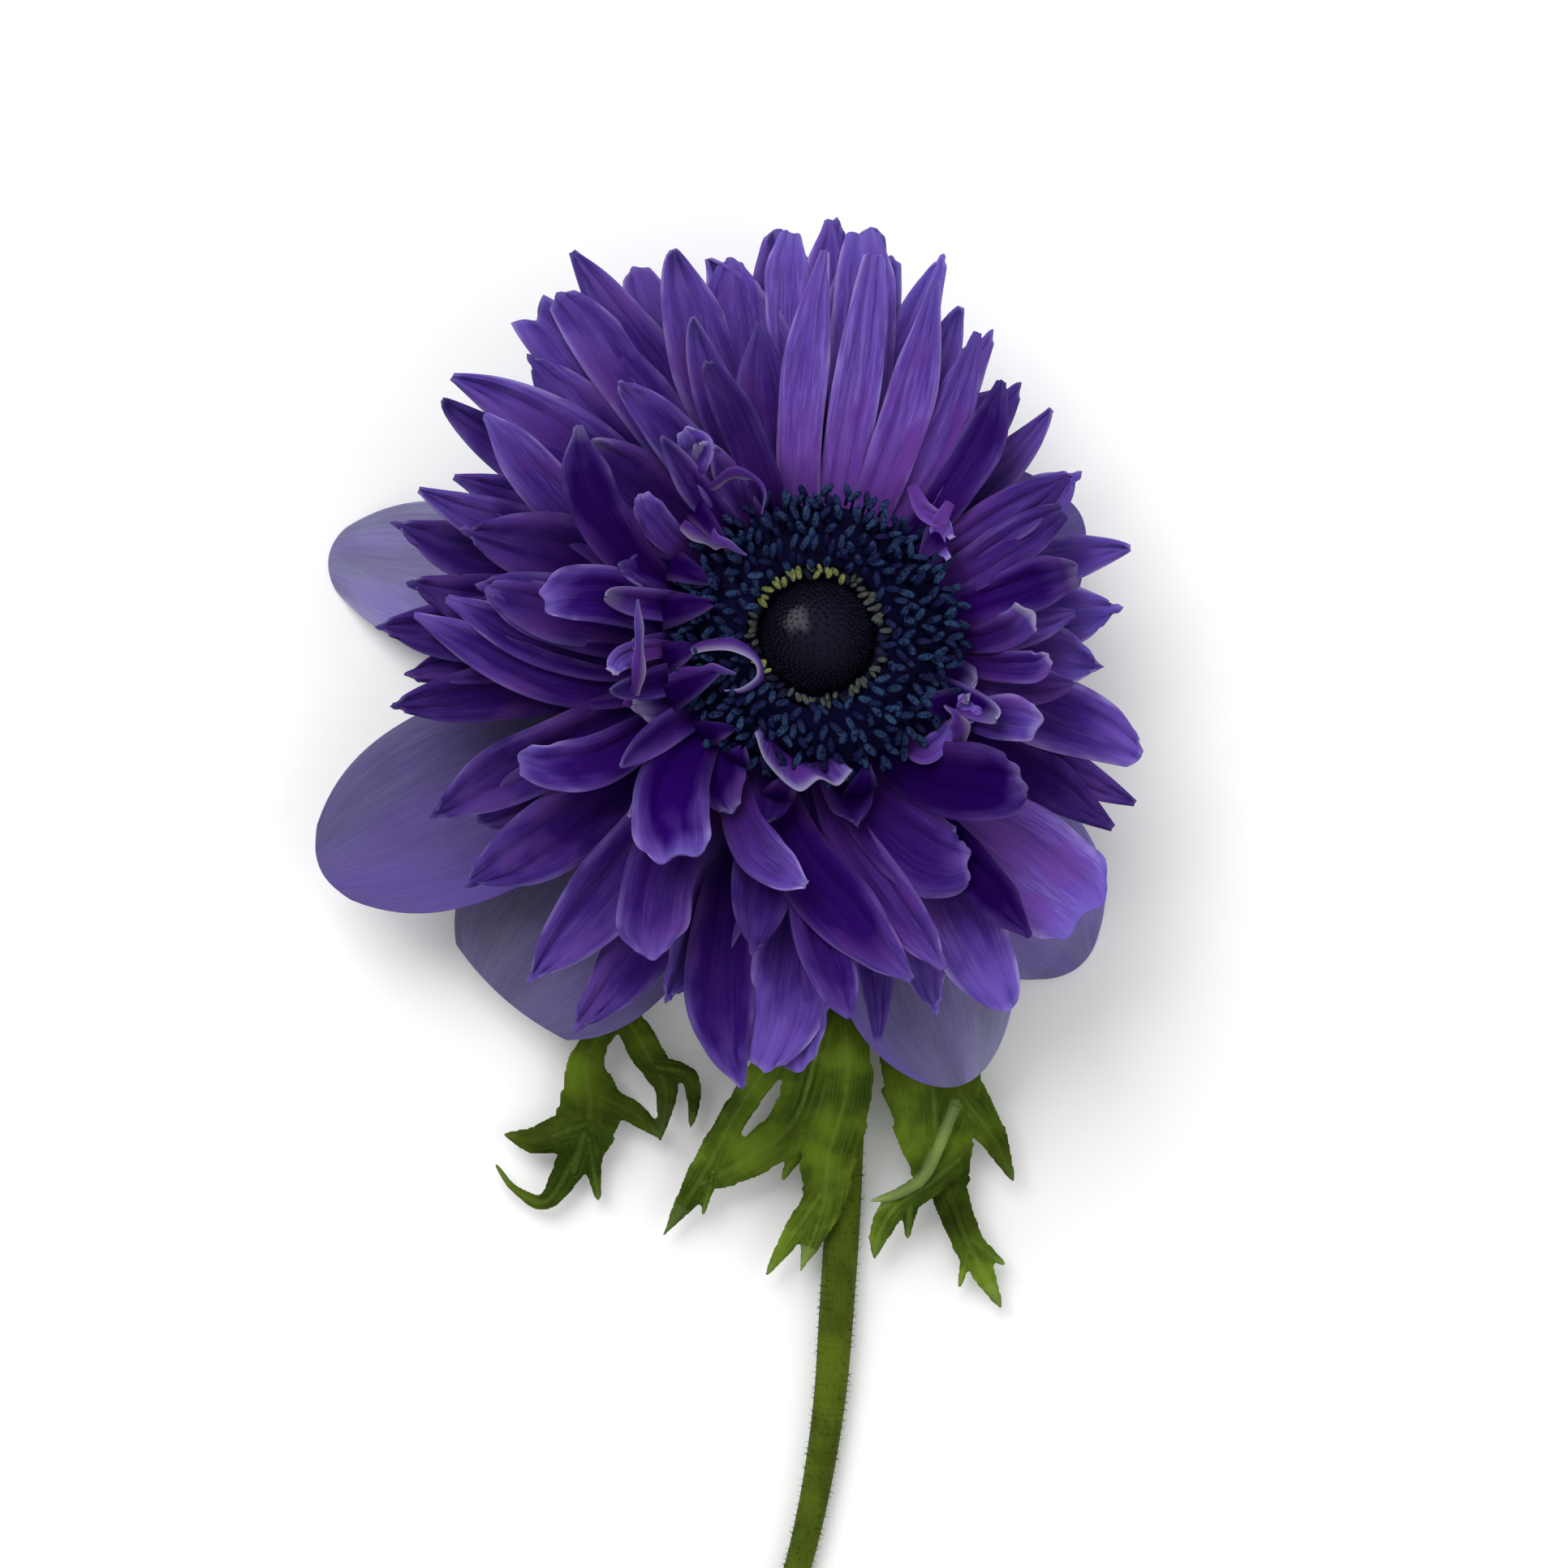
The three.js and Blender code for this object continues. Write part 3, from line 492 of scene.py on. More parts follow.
# %% Petal outlines and the bowl
# Angle, reach, width, tip, curl, change of tone, and how far the tip sweeps sideways
Petal = namedtuple("Petal", "at reach width tip curl shift sweep", defaults=(0, 0, 0))
WIDEST = 0.62
PETAL_ROOT = 7.8
PETAL_ROOT_SHARE = 0.5
WIDER = 1.22
CAD_THICKNESS = 0.6
LIFTS = (0, 1, -1)
# The share of its width that a tip keeps, how late it narrows, and how round, notched or pointed it is
Tip = namedtuple("Tip", "left late rounding notch point")
TIPS = {
    "pointed": Tip(0.08, 2, 0, 0, 0),
    "round": Tip(0.26, 2.6, 0.18, 0, 0.1),
    "blunt": Tip(0.5, 3.2, 0.1, 0, 0.06),
    "notched": Tip(0.66, 3.6, 0.12, 0.35, 0),
    "broad": Tip(0.42, 2.8, 0.16, 0, 0),
    "square": Tip(0.62, 3.5, 0.08, 0, 0),
}


def half_width(along, width, root_width, tip):
    """Half the width of a blade at a share of its length."""
    if along < WIDEST:
        return (root_width + (width - root_width) * math.sin(math.pi / 2 * along / WIDEST)) / 2
    past = (along - WIDEST) / (1 - WIDEST)
    return width * (1 - (1 - tip.left) * past**tip.late) / 2


def set_back(along, across, width, tip):
    """How far a blade's end is set back, to round its corners, notch its middle or leave a point."""
    rounded = tip.rounding * across**2 + tip.notch * (1 - abs(across))
    return width * along**6 * (rounded + tip.point * (1 - (1 - abs(across)) ** 4))


def polar(degrees, radius, sideways, height):
    """A point at a radius along a direction from the bloom's axis, moved sideways."""
    angle = math.radians(degrees)
    x = radius * math.cos(angle) - sideways * math.sin(angle)
    y = radius * math.sin(angle) + sideways * math.cos(angle)
    return Vector((x, y, height))


def curve_point(points, share):
    """A point on the smooth Catmull-Rom curve through the points."""
    place = share * (len(points) - 1)
    start = min(int(place), len(points) - 2)
    t = place - start
    first, last = points[0], points[-1]
    chain = [2 * first - points[1], *points, 2 * last - points[-2]]
    a, b, c, d = chain[start : start + 4]
    return 0.5 * (2 * b + (c - a) * t + (2 * a - 5 * b + 4 * c - d) * t**2 + (3 * b - a - 3 * c + d) * t**3)


def curve_ahead(points, share, step=0.02):
    """The way the curve runs at a share of its length."""
    return curve_point(points, min(1, share + step)) - curve_point(points, max(0, share - step))


def bowl_height(bowl, radius):
    """The height of a ring's bowl at a radius."""
    out = max(0, radius - bowl["flat_to"]) / (bowl["full_at"] - bowl["flat_to"])
    return sum(bowl["collar"]) / 2 + CAD_THICKNESS / 2 + bowl["rise"] * out ** bowl["power"]


# %% [markdown]
# Growth is never even, so each petal draws its own fold, twist, ruffle and wander from a seeded
# generator, within narrow limits. A curled tip is rolled up on a small circle: past the point where
# the curl starts, the distance left runs round that circle instead of straight on. The root lies
# flat on its neighbours, so folds and ruffles open over the first third of the length.

# %% The place function of a petal
FOLD = (0.08, 0.24)
BANK = 0.2
TWIST = 0.5
RUFFLE = (0.1, 0.4)
WAVES = (1.6, 3.2)
WANDER = 1.2
BEND = 0.7
SKEW = 0.25
OPENING = 3
FOLD_FADE = 0.6
EDGE_WAVE = 0.05
LIFT_AT_ROOT = 0.2
LIFTED_BY = 0.25
PLEAT_DEPTH = 0.03
CRINKLE = 0.3
CURL_LENGTH = 3.4
CURL_TURN = 1.7


def crinkle(across, along, seed):
    """How far a blade's face swells or sinks at a point, as it does between the veins."""
    return CRINKLE * noise.noise(Vector((1.6 * across, 6 * along, seed)))


def eased(along):
    """The share of its lift that a petal has reached at a share of its length."""
    return LIFT_AT_ROOT + (1 - LIFT_AT_ROOT) * min(1, along / LIFTED_BY)


def petal_place(bowl, petal, lift, chance):
    """The place function of one narrow petal."""
    width = petal.width * WIDER
    shape = TIPS[petal.tip]
    fold = chance.uniform(*bowl.get("fold", FOLD))
    bank = chance.uniform(-BANK, BANK)
    bend = chance.uniform(-BEND, BEND)
    twist = chance.uniform(-TWIST, TWIST)
    ruffle = chance.uniform(*RUFFLE)
    wander = chance.uniform(-WANDER, WANDER)
    skew = chance.uniform(-SKEW, SKEW) * width
    waves = chance.uniform(*WAVES)
    phases = {side: chance.uniform(0, 2 * math.pi) for side in (-1, 1)}
    curl_start = petal.reach - CURL_LENGTH
    curl_radius = CURL_LENGTH / (CURL_TURN * petal.curl) if petal.curl else 1

    def place(across, along):
        straight = PETAL_ROOT + (petal.reach - PETAL_ROOT) * along
        straight -= set_back(along, across, width, shape)
        rolled = max(0, straight - curl_start) / curl_radius if petal.curl else 0
        radius = min(straight, curl_start) + curl_radius * math.sin(rolled) if rolled else straight
        half = half_width(along, width, PETAL_ROOT_SHARE * width, shape)
        phase = phases[1 if across > 0 else -1]
        wave = math.sin(2 * math.pi * waves * along + phase)
        half *= 1 + EDGE_WAVE * wave * along
        opened = min(1, OPENING * along)
        height = bowl_height(bowl, radius) + lift * eased(along)
        height += fold * width * abs(across) ** 1.3 * opened * (1 - FOLD_FADE * along**4)
        height += crinkle(across, along, petal.at) * opened
        height += PLEAT_DEPTH * width * math.cos(3 * math.pi * across) * opened
        height += ruffle * wave * across**4 * opened
        height += curl_radius * (1 - math.cos(rolled))
        height += bend * math.sin(2 * math.pi * along) * opened
        turn = twist * along**2 + bank * opened
        sideways = across * half * math.cos(turn) + petal.sweep * along**2
        sideways += wander * math.sin(math.pi * along) * along + skew * along**8
        height += across * half * math.sin(turn)
        return polar(petal.at, radius, sideways, height)

    return place


# %% [markdown]
# ## A ring of petals
#
# The petals of a ring grow from one collar round the receptacle, the swollen top of the stalk. The
# collar is a small profile turned about the axis with spin. Neighbouring petals are lifted in
# turn, so that they lie over each other as tiles do instead of cutting through each other.
# The petals in the fan at the top of the bloom have hardly any dark heart, and those at its left are
# the darkest, so tone and heart follow each petal's direction, with a little chance added. The tone by
# direction is painted light: petals whose faces turn towards the key lamp are lighter, those turned
# away darker.

# %% Rings
COLLAR_INNER = 5.5
COLLAR_OUTER = 8.5
RING_STEPS = 72
SAME_PLACE = 1e-4
FAN_MIDDLE = 75
FAN_HEART_LOSS = 0.75
# Painted shade: each petal is darker towards its crowded root and lighter towards its tip.
TONE_RISE = 0.3
PALE_CURL = 0.9
# How pale a tip is and for how many millimetres, where it curls and where it doesn't
CURLED_TIP = (0.6, CURL_LENGTH)
FLAT_TIP = (0.2, 0.7)


def spin_profile(bm, points):
    """Turns a closed or axis-to-axis profile of radius and height about the bloom's axis."""
    before = set(bm.verts)
    verts = [bm.verts.new((radius, 0, height)) for radius, height in points]
    edges = [bm.edges.new(pair) for pair in zip(verts, verts[1:])]
    if points[0][0] > 0:
        edges.append(bm.edges.new((verts[-1], verts[0])))
    turn = {"cent": (0, 0, 0), "axis": (0, 0, 1), "angle": 2 * math.pi, "steps": RING_STEPS}
    bmesh.ops.spin(bm, geom=verts + edges, use_merge=True, **turn)
    made = [vert for vert in bm.verts if vert not in before]
    bmesh.ops.remove_doubles(bm, verts=made, dist=SAME_PLACE)
    faces = {face for vert in bm.verts if vert not in before for face in vert.link_faces}
    bmesh.ops.recalc_face_normals(bm, faces=list(faces))


def petal_look(bowl, petal, chance):
    """The look of a petal: its tone, partly painted light, its pale tip, longer where it curls, and its dark
    heart, partly painted shade.
    """
    # Painted light: the tone rises on petals that face the side the key lamp shines from, and falls on the
    # others.
    light = math.cos(math.radians(petal.at - bowl["light_from"]))
    tone = bowl["tone"] + bowl["painted_light"] * light + petal.shift + chance.uniform(-0.1, 0.1)
    fan = max(0, math.cos(math.radians(petal.at - FAN_MIDDLE))) ** 3
    heart = bowl["heart"] * (1 - FAN_HEART_LOSS * fan) + chance.uniform(-0.15, 0.1)
    most, pale_length = CURLED_TIP if petal.curl >= PALE_CURL else FLAT_TIP
    pale_from = 1 - pale_length / (petal.reach - PETAL_ROOT)

    def look(across, along):
        pale = most * max(0, along - pale_from) / (1 - pale_from)
        return tone + TONE_RISE * (along - 0.6), pale, heart

    return look


def add_petal(bm, bowl, petal, lift, cells, chance):
    """Adds one petal of a ring."""
    place = petal_place(bowl, petal, lift, chance)
    look = petal_look(bowl, petal, chance)
    add_blade(bm, cells, place, (petal.width, petal.reach - PETAL_ROOT), PETAL_THICKNESS, look)


def petal_ring(bowl, rows, seed, cells):
    """All the petals of a ring, with their collar."""
    chance = random.Random(seed)
    bm = new_blades()
    for index, row in enumerate(rows):
        lift = bowl["lift"] * (LIFTS[index % 3] + chance.uniform(-0.3, 0.3))
        add_petal(bm, bowl, Petal(*row), lift, cells, chance)
    low, high = bowl["collar"]
    spin_profile(bm, [(COLLAR_INNER, low), (COLLAR_OUTER, low), (COLLAR_OUTER, high), (COLLAR_INNER, high)])
    return bm


# %% [markdown]
# ### The lower ring
#
# About fifty long petals lie flattest and give the bloom its outline. Their rows run
# counterclockwise from the right-hand side, and were read off the photograph one by one. A sixth
# number makes a petal darker or lighter than its place would. Nine that show best lie askew, so
# each is drawn on its own: its middle line and its width at a few points. The bowl of the ring
# still gives the heights.

# %% Lower petals
# Each bowl's tone swings with a petal's direction from the side the light comes from: painted light and
# shade.
LOWER_BOWL = {"collar": (17, 18.6), "flat_to": 8, "full_at": 46, "rise": 4.2, "power": 1.3, "lift": 0.8}
LOWER_BOWL |= {"tone": 0.53, "painted_light": 0.22, "light_from": 20, "heart": 0.75}
LOWER_PETALS = [
    (5.5, 34.2, 6.2, "round"),
    (17.3, 36.5, 4.8, "pointed", 0.6),
    (31, 34.8, 6, "round", 0, -0.12),
    (42.8, 36.6, 4.2, "pointed", 0.5, -0.12),
    (52.6, 36.2, 6.2, "round", 0, -0.4),
    (61.5, 39.4, 5, "round"),
    (67, 40.4, 4.8, "pointed", 0.6),
    (72.6, 44.7, 4.6, "round"),
    (80.2, 43.2, 4.4, "blunt"),
    (83.3, 45.8, 5.8, "broad"),
    (88.5, 46.5, 5.6, "round"),
    (94.6, 45.5, 7, "broad"),
    (102.6, 43.5, 8.6, "pointed"),
    (111, 46.5, 7, "pointed", 0.8),
    (117, 46, 5.6, "blunt"),
    (122, 50.5, 6, "pointed"),
    (126.5, 47.8, 5.6, "blunt"),
    (130.6, 49.4, 5.8, "notched", 0, 0.1),
    (136, 45, 6.4, "round", 0, 0.15),
    (143, 49.5, 6.6, "pointed", 0, 0.15),
    (149, 50, 5.6, "pointed", 0.8),
    (154.6, 44, 5.4, "pointed"),
    (160, 47, 5.6, "pointed"),
    (166, 49, 7, "round"),
    (174, 46, 6, "round", 0, -0.12),
    (180, 49, 6.4, "round", 0, -0.15),
    (184, 46, 5, "round", 0, -0.15),
    (189, 48, 5.6, "round", 0, -0.15),
    (203, 47.5, 6.4, "round"),
    (209, 43, 5.6, "blunt"),
    (217, 48, 7.2, "round"),
    (231, 50, 6.8, "round"),
    (240, 51.5, 6.4, "round"),
    (249, 44, 6, "round"),
    (265.5, 48.6, 8, "blunt", 0, 0.12),
    (279.5, 45.5, 4.6, "pointed"),
    (288, 44, 5.6, "round", 0, 0.1),
    (296, 46.5, 7.6, "broad", 0, 0.15),
    (305.5, 41, 5, "pointed"),
    (317, 38, 6, "round", 0, -0.3),
    (326.8, 39, 5, "pointed", 0, -0.4),
    (332, 39.8, 4.4, "pointed", 0, -0.4),
    (343, 38.3, 6.8, "broad", 0, -0.1),
    (354.5, 32.4, 6, "round", 0.5),
]
# Points of x, y and width, then the lift, the tone at the root and at the tip, the heart, how pale the
# tip is, the fold and, where they are deeper than usual, the pleats
Drawn = namedtuple("Drawn", "line lift first_tone last_tone heart pale fold pleat", defaults=(PLEAT_DEPTH,))
# In every table of drawn petals the tones and hearts carry painted light and shade as well as each petal's
# own colour: petals on the left of the disc, turned away from the key lamp, have low tones and deep hearts.
LOWER_ALONE = [
    ([(3, 12, 4.4), (4, 22, 6), (5, 32, 7.2), (5.2, 39, 6.8), (5.1, 44.8, 4)],
     1.7, 0.95, 0.8, 0, 0.1, 0.1, 0.04),
    ([(0.5, 13, 4), (0.8, 24, 5.8), (1.1, 34, 6.4), (1.2, 41, 5), (1.3, 46.2, 0.8)],
     0.9, 0.95, 0.7, 0.05, 0.1, 0.14, 0.04),
    ([(-2, 14, 3.6), (-2.6, 24, 4.4), (-3.2, 34, 5), (-3.4, 40, 4.8), (-3, 44.8, 2.6)],
     1.5, 0.9, 0.85, 0, 0.1, 0.24),
    ([(-5, 14, 4), (-7.4, 24, 6.2), (-9, 33, 7.8), (-9.5, 38, 7), (-9.6, 41.8, 2.8)],
     1.1, 0.6, 0.65, 0.25, 0.1, 0.1, 0.035),
    ([(9, -14, 5), (16, -20, 9.5), (22.6, -24.8, 12.6), (27.4, -28.6, 12.2), (30, -30.9, 9)],
     1.6, 0.6, 0.95, 0, 0.05, 0.03, 0.03),
    ([(-3, -20, 5), (-3.6, -29, 7.6), (-4, -37, 8.8), (-3, -44, 8), (-2, -47.9, 4.6)],
     0.5, 0.3, 0.7, 0.5, 0.1, 0.1),
    ([(-7, -20, 5), (-9.4, -29, 7.4), (-10.8, -38, 8), (-10, -45, 5.4), (-8.2, -49.9, 0.8)],
     1.3, 0.2, 0.55, 0.8, 0.1, 0.14),
    ([(-16, -4, 3), (-22, -5.6, 4.6), (-29.5, -4.6, 5.6), (-37.5, -1, 4.8), (-44.5, 2.4, 0.8)],
     2.6, 0.25, 0.6, 0.8, 0.05, 0.2, 0.04),
    ([(-16, -2.6, 3), (-23, -3, 4), (-30, -1.2, 4.8), (-36, 1.8, 4), (-41, 4.2, 0.8)],
     3.4, 0.3, 0.6, 0.7, 0.05, 0.2, 0.04),
]


RIPPLES = 14
EDGE_RIPPLE = 0.06
THINNEST = 0.05
CORNERS_BACK = 0.22
TIP_WAVE = 0.07


def alone_place(bowl, petal, chance):
    """The place function of a petal drawn on its own: a line of x, y and width over a bowl."""
    line = [Vector(point) for point in petal.line]
    bank = chance.uniform(-BANK, BANK)
    ruffle = chance.uniform(*RUFFLE)
    phases = {side: chance.uniform(0, 2 * math.pi) for side in (-1, 1)}

    def place(across, along):
        x, y, width = curve_point(line, along)
        ahead = curve_ahead(line, along, 0.03).to_2d().normalized()
        wave = math.sin(RIPPLES * along + phases[1 if across > 0 else -1])
        opened = min(1, OPENING * along)
        half = max(THINNEST, width / 2) * (1 + EDGE_RIPPLE * wave * along)
        uneven = CORNERS_BACK * abs(across) ** 3 + TIP_WAVE * math.sin(4.5 * across + phases[1])
        back = uneven * width * along**8
        height = bowl_height(bowl, math.hypot(x, y)) + petal.lift * eased(along)
        height += petal.fold * width * abs(across) ** 1.4 * opened * (1 - FOLD_FADE * along**4)
        height += crinkle(across, along, petal.lift + line[0].x) * opened
        height += petal.pleat * width * math.cos(3 * math.pi * across) * opened
        height += ruffle * wave * across**4 * opened + across * half * math.sin(bank) * opened
        sideways = Vector((-ahead.y, ahead.x)) * across * half - ahead * back
        return Vector((x + sideways.x, y + sideways.y, height))

    return place


PALE_FROM = 0.9


def alone_look(petal):
    """The look of a petal drawn on its own."""

    def look(across, along):
        tone = petal.first_tone + (petal.last_tone - petal.first_tone) * along
        return tone, petal.pale * max(0, along - PALE_FROM) / (1 - PALE_FROM), petal.heart

    return look


def line_length(points):
    """The length of a line whose points end with a width."""
    return sum((Vector(a[:-1]) - Vector(b[:-1])).length for a, b in zip(points, points[1:]))


def add_alone(bm, bowl, rows, seed):
    """Adds the petals drawn on their own."""
    chance = random.Random(seed)
    for petal in (Drawn(*row) for row in rows):
        size = (max(point[2] for point in petal.line), line_length(petal.line))
        add_blade(bm, (18, 40), alone_place(bowl, petal, chance), size, PETAL_THICKNESS, alone_look(petal))


lower_bm = petal_ring(LOWER_BOWL, LOWER_PETALS, 11, (12, 44))
add_alone(lower_bm, LOWER_BOWL, LOWER_ALONE, 70)
finish_piece(lower_bm, "lower_petal_ring", lower_petal_finish, "petals_lower")

# %% [markdown]
# ### The middle ring
#
# More than two dozen shorter petals stand a little steeper. They cover the roots of the lower ones and
# throw the dark grooves between them. A few are rows again. The others, such as the slender
# pleated ones that make the fan at the top, are drawn on their own.

# %% Middle petals
MIDDLE_BOWL = {"collar": (19.6, 21), "flat_to": 9, "full_at": 40, "rise": 8, "power": 1.4, "lift": 0.5}
MIDDLE_BOWL |= {"tone": 0.45, "painted_light": 0.17, "light_from": 30, "heart": 0.9}
MIDDLE_PETALS = [
    (113, 38, 4.4, "pointed", 0.6),
    (127, 36, 4.4, "round", 0.6),
    (139, 34.5, 5.4, "round", 1),
    (163, 41, 7.4, "round"),
    (173, 38, 6.4, "round", 0, -0.1),
    (223, 30, 3.4, "pointed", 1),
    (256, 36, 6, "round"),
]
MIDDLE_ALONE = [
    ([(-2, 13, 4.4), (-2, 22, 5), (-1, 32, 4.8), (0.8, 42, 1)], 1.7, 0.95, 0.7, 0, 0.05, 0.14, 0.04),
    ([(2, 13, 4.4), (3.4, 22, 5.2), (5, 32, 5), (6.2, 41.6, 2.4)], 1.2, 1, 0.8, 0, 0.05, 0.14, 0.05),
    ([(5.4, 12.6, 4.4), (8.4, 20.5, 5.4), (11, 29, 5), (13, 39, 0.8)],
     1.6, 0.95, 0.65, 0.05, 0.05, 0.14, 0.04),
    ([(8.4, 11.4, 4.2), (12.2, 18.6, 5), (15.2, 26, 4.6), (17.6, 33.2, 0.8)],
     1.1, 0.9, 0.55, 0.15, 0.05, 0.16, 0.04),
    ([(10.4, 10.2, 4), (15, 16.4, 5), (18.6, 22.4, 4.8), (20.2, 28, 1)], 1.5, 0.55, 0.35, 0.8, 0.05, 0.2),
    ([(12, 7.6, 4), (17.6, 11.2, 5.4), (22.8, 14.4, 5.4), (27.6, 17.4, 1)],
     1.2, 0.8, 0.25, 0.3, 0.05, 0.12, 0.045),
    ([(12.8, 5, 3.8), (18, 8, 5), (23, 11.2, 5), (27, 13.8, 2.4)], 1.7, 0.7, 0.25, 0.4, 0.1, 0.14, 0.045),
    ([(13.2, 2.4, 3.8), (18.6, 4, 5.2), (24, 5.8, 5.8), (28.6, 7.2, 3.8)],
     1.3, 0.7, 0.2, 0.9, 0.4, 0.2, 0.04),
    ([(13.4, -0.6, 3.6), (18.6, 0.4, 4.8), (23.6, 1.4, 4.8), (28.4, 2.6, 1)],
     1, 0.85, 0.35, 0.3, 0.05, 0.16, 0.045),
    ([(13.6, -3.4, 3.4), (18.4, -4.6, 4.6), (23.4, -5.4, 4.8), (28.2, -5.4, 1.4)],
     0.9, 0.8, 0.3, 0.4, 0.05, 0.16, 0.045),
    ([(-3, 12, 4), (-4.6, 20, 6), (-5.8, 27, 7), (-6.3, 34.6, 1)], 0.2, 0.6, 0.45, 0.5, 0.1, 0.12),
    ([(-13, 4, 3), (-19, 7, 4.4), (-27.4, 13.8, 6), (-32.8, 20, 5), (-36.3, 24.1, 0.8)],
     1.2, 0.3, 0.8, 0.4, 0.1, 0.12),
    ([(-14, -1.5, 4), (-22, 0.4, 6), (-28, 2, 6.6), (-33, 3.8, 5.4), (-36.4, 5, 2.4)],
     0.9, 0.2, 0.5, 0.8, 0.1, 0.2, 0.03),
    ([(-13, -7, 3), (-18.5, -10.5, 4.6), (-24, -13.6, 6), (-29, -14.4, 5.2), (-32.8, -13.4, 3.6)],
     0.6, 0.15, 0.75, 0.9, 0.15, 0.16),
    ([(-11, -16, 4), (-15.5, -22, 6.8), (-17.5, -27, 8), (-18.2, -32, 7.6), (-18.2, -35.4, 3.8)],
     0.9, 0.2, 0.6, 0.6, 0.1, 0.12),
    ([(-5, -15, 3.4), (-2.6, -23.4, 7), (3, -30.4, 7.6), (7, -34.6, 5), (10.3, -37.8, 0.8)],
     1, 0.3, 0.55, 0.9, 0.1, 0.16, 0.04),
    ([(0.4, -15, 3), (3.6, -22.4, 5), (8.4, -29.4, 5.6), (11.4, -33.4, 4), (13.9, -36.6, 0.8)],
     0.3, 0.45, 0.6, 0.5, 0.1, 0.22, 0.04),
    ([(-1, -14, 3), (-1, -24, 5), (0.4, -33, 6), (2.4, -39, 4.4), (3.6, -42, 1)],
     -0.4, 0.3, 0.5, 0.8, 0.05, 0.2),
    ([(2, -13, 4), (6, -19, 7), (10.6, -23.2, 9), (14.4, -25, 8.2), (16.8, -25, 4.8)],
     1.2, 0.25, 0.55, 0.7, 0.2, 0.1),
    ([(13, -20, 3), (17, -25.4, 4.8), (20.4, -29.8, 4.4), (23.4, -33, 0.6)], -0.4, 0.1, 0.25, 1, 0, 0.2),
]


middle_bm = petal_ring(MIDDLE_BOWL, MIDDLE_PETALS, 23, (12, 44))
add_alone(middle_bm, MIDDLE_BOWL, MIDDLE_ALONE, 71)
finish_piece(middle_bm, "middle_petal_ring", middle_petal_finish, "petals_middle")

# %% [markdown]
# ### The upper ring and the petaloids
#
# The short petals nearest the disc stand highest, and many end in a whitish curl. Some are folded
# nearly shut, and those that show best are drawn on their own. Inside them stand the petaloids:
# stamens that have turned into small petals. Each rises from the edge of the stamens, bends
# inwards over them and narrows, so its middle line is a curve through four points.

# %% Upper petals and petaloids
UPPER_BOWL = {"collar": (22.2, 23.1), "flat_to": 12, "full_at": 30, "rise": 10, "power": 1.4, "lift": 0.3}
UPPER_BOWL |= {"tone": 0.4, "painted_light": 0.2, "light_from": 65, "heart": 0.95}
UPPER_PETALS = [
    (110.8, 33, 3.8, "round", 0.85, -0.15, 1),
    (120.6, 26, 4.2, "pointed", 1),
    (158, 24, 4.4, "round", 0.8),
    (188, 22.5, 3.8, "blunt", 1.6),
    (204, 23, 4.4, "round", 1),
    (252, 22, 4.6, "round", 0.6, -0.15),
    (283, 22, 4.6, "round", 0.5, -0.15),
    (341, 20, 4, "blunt", 1.4),
]
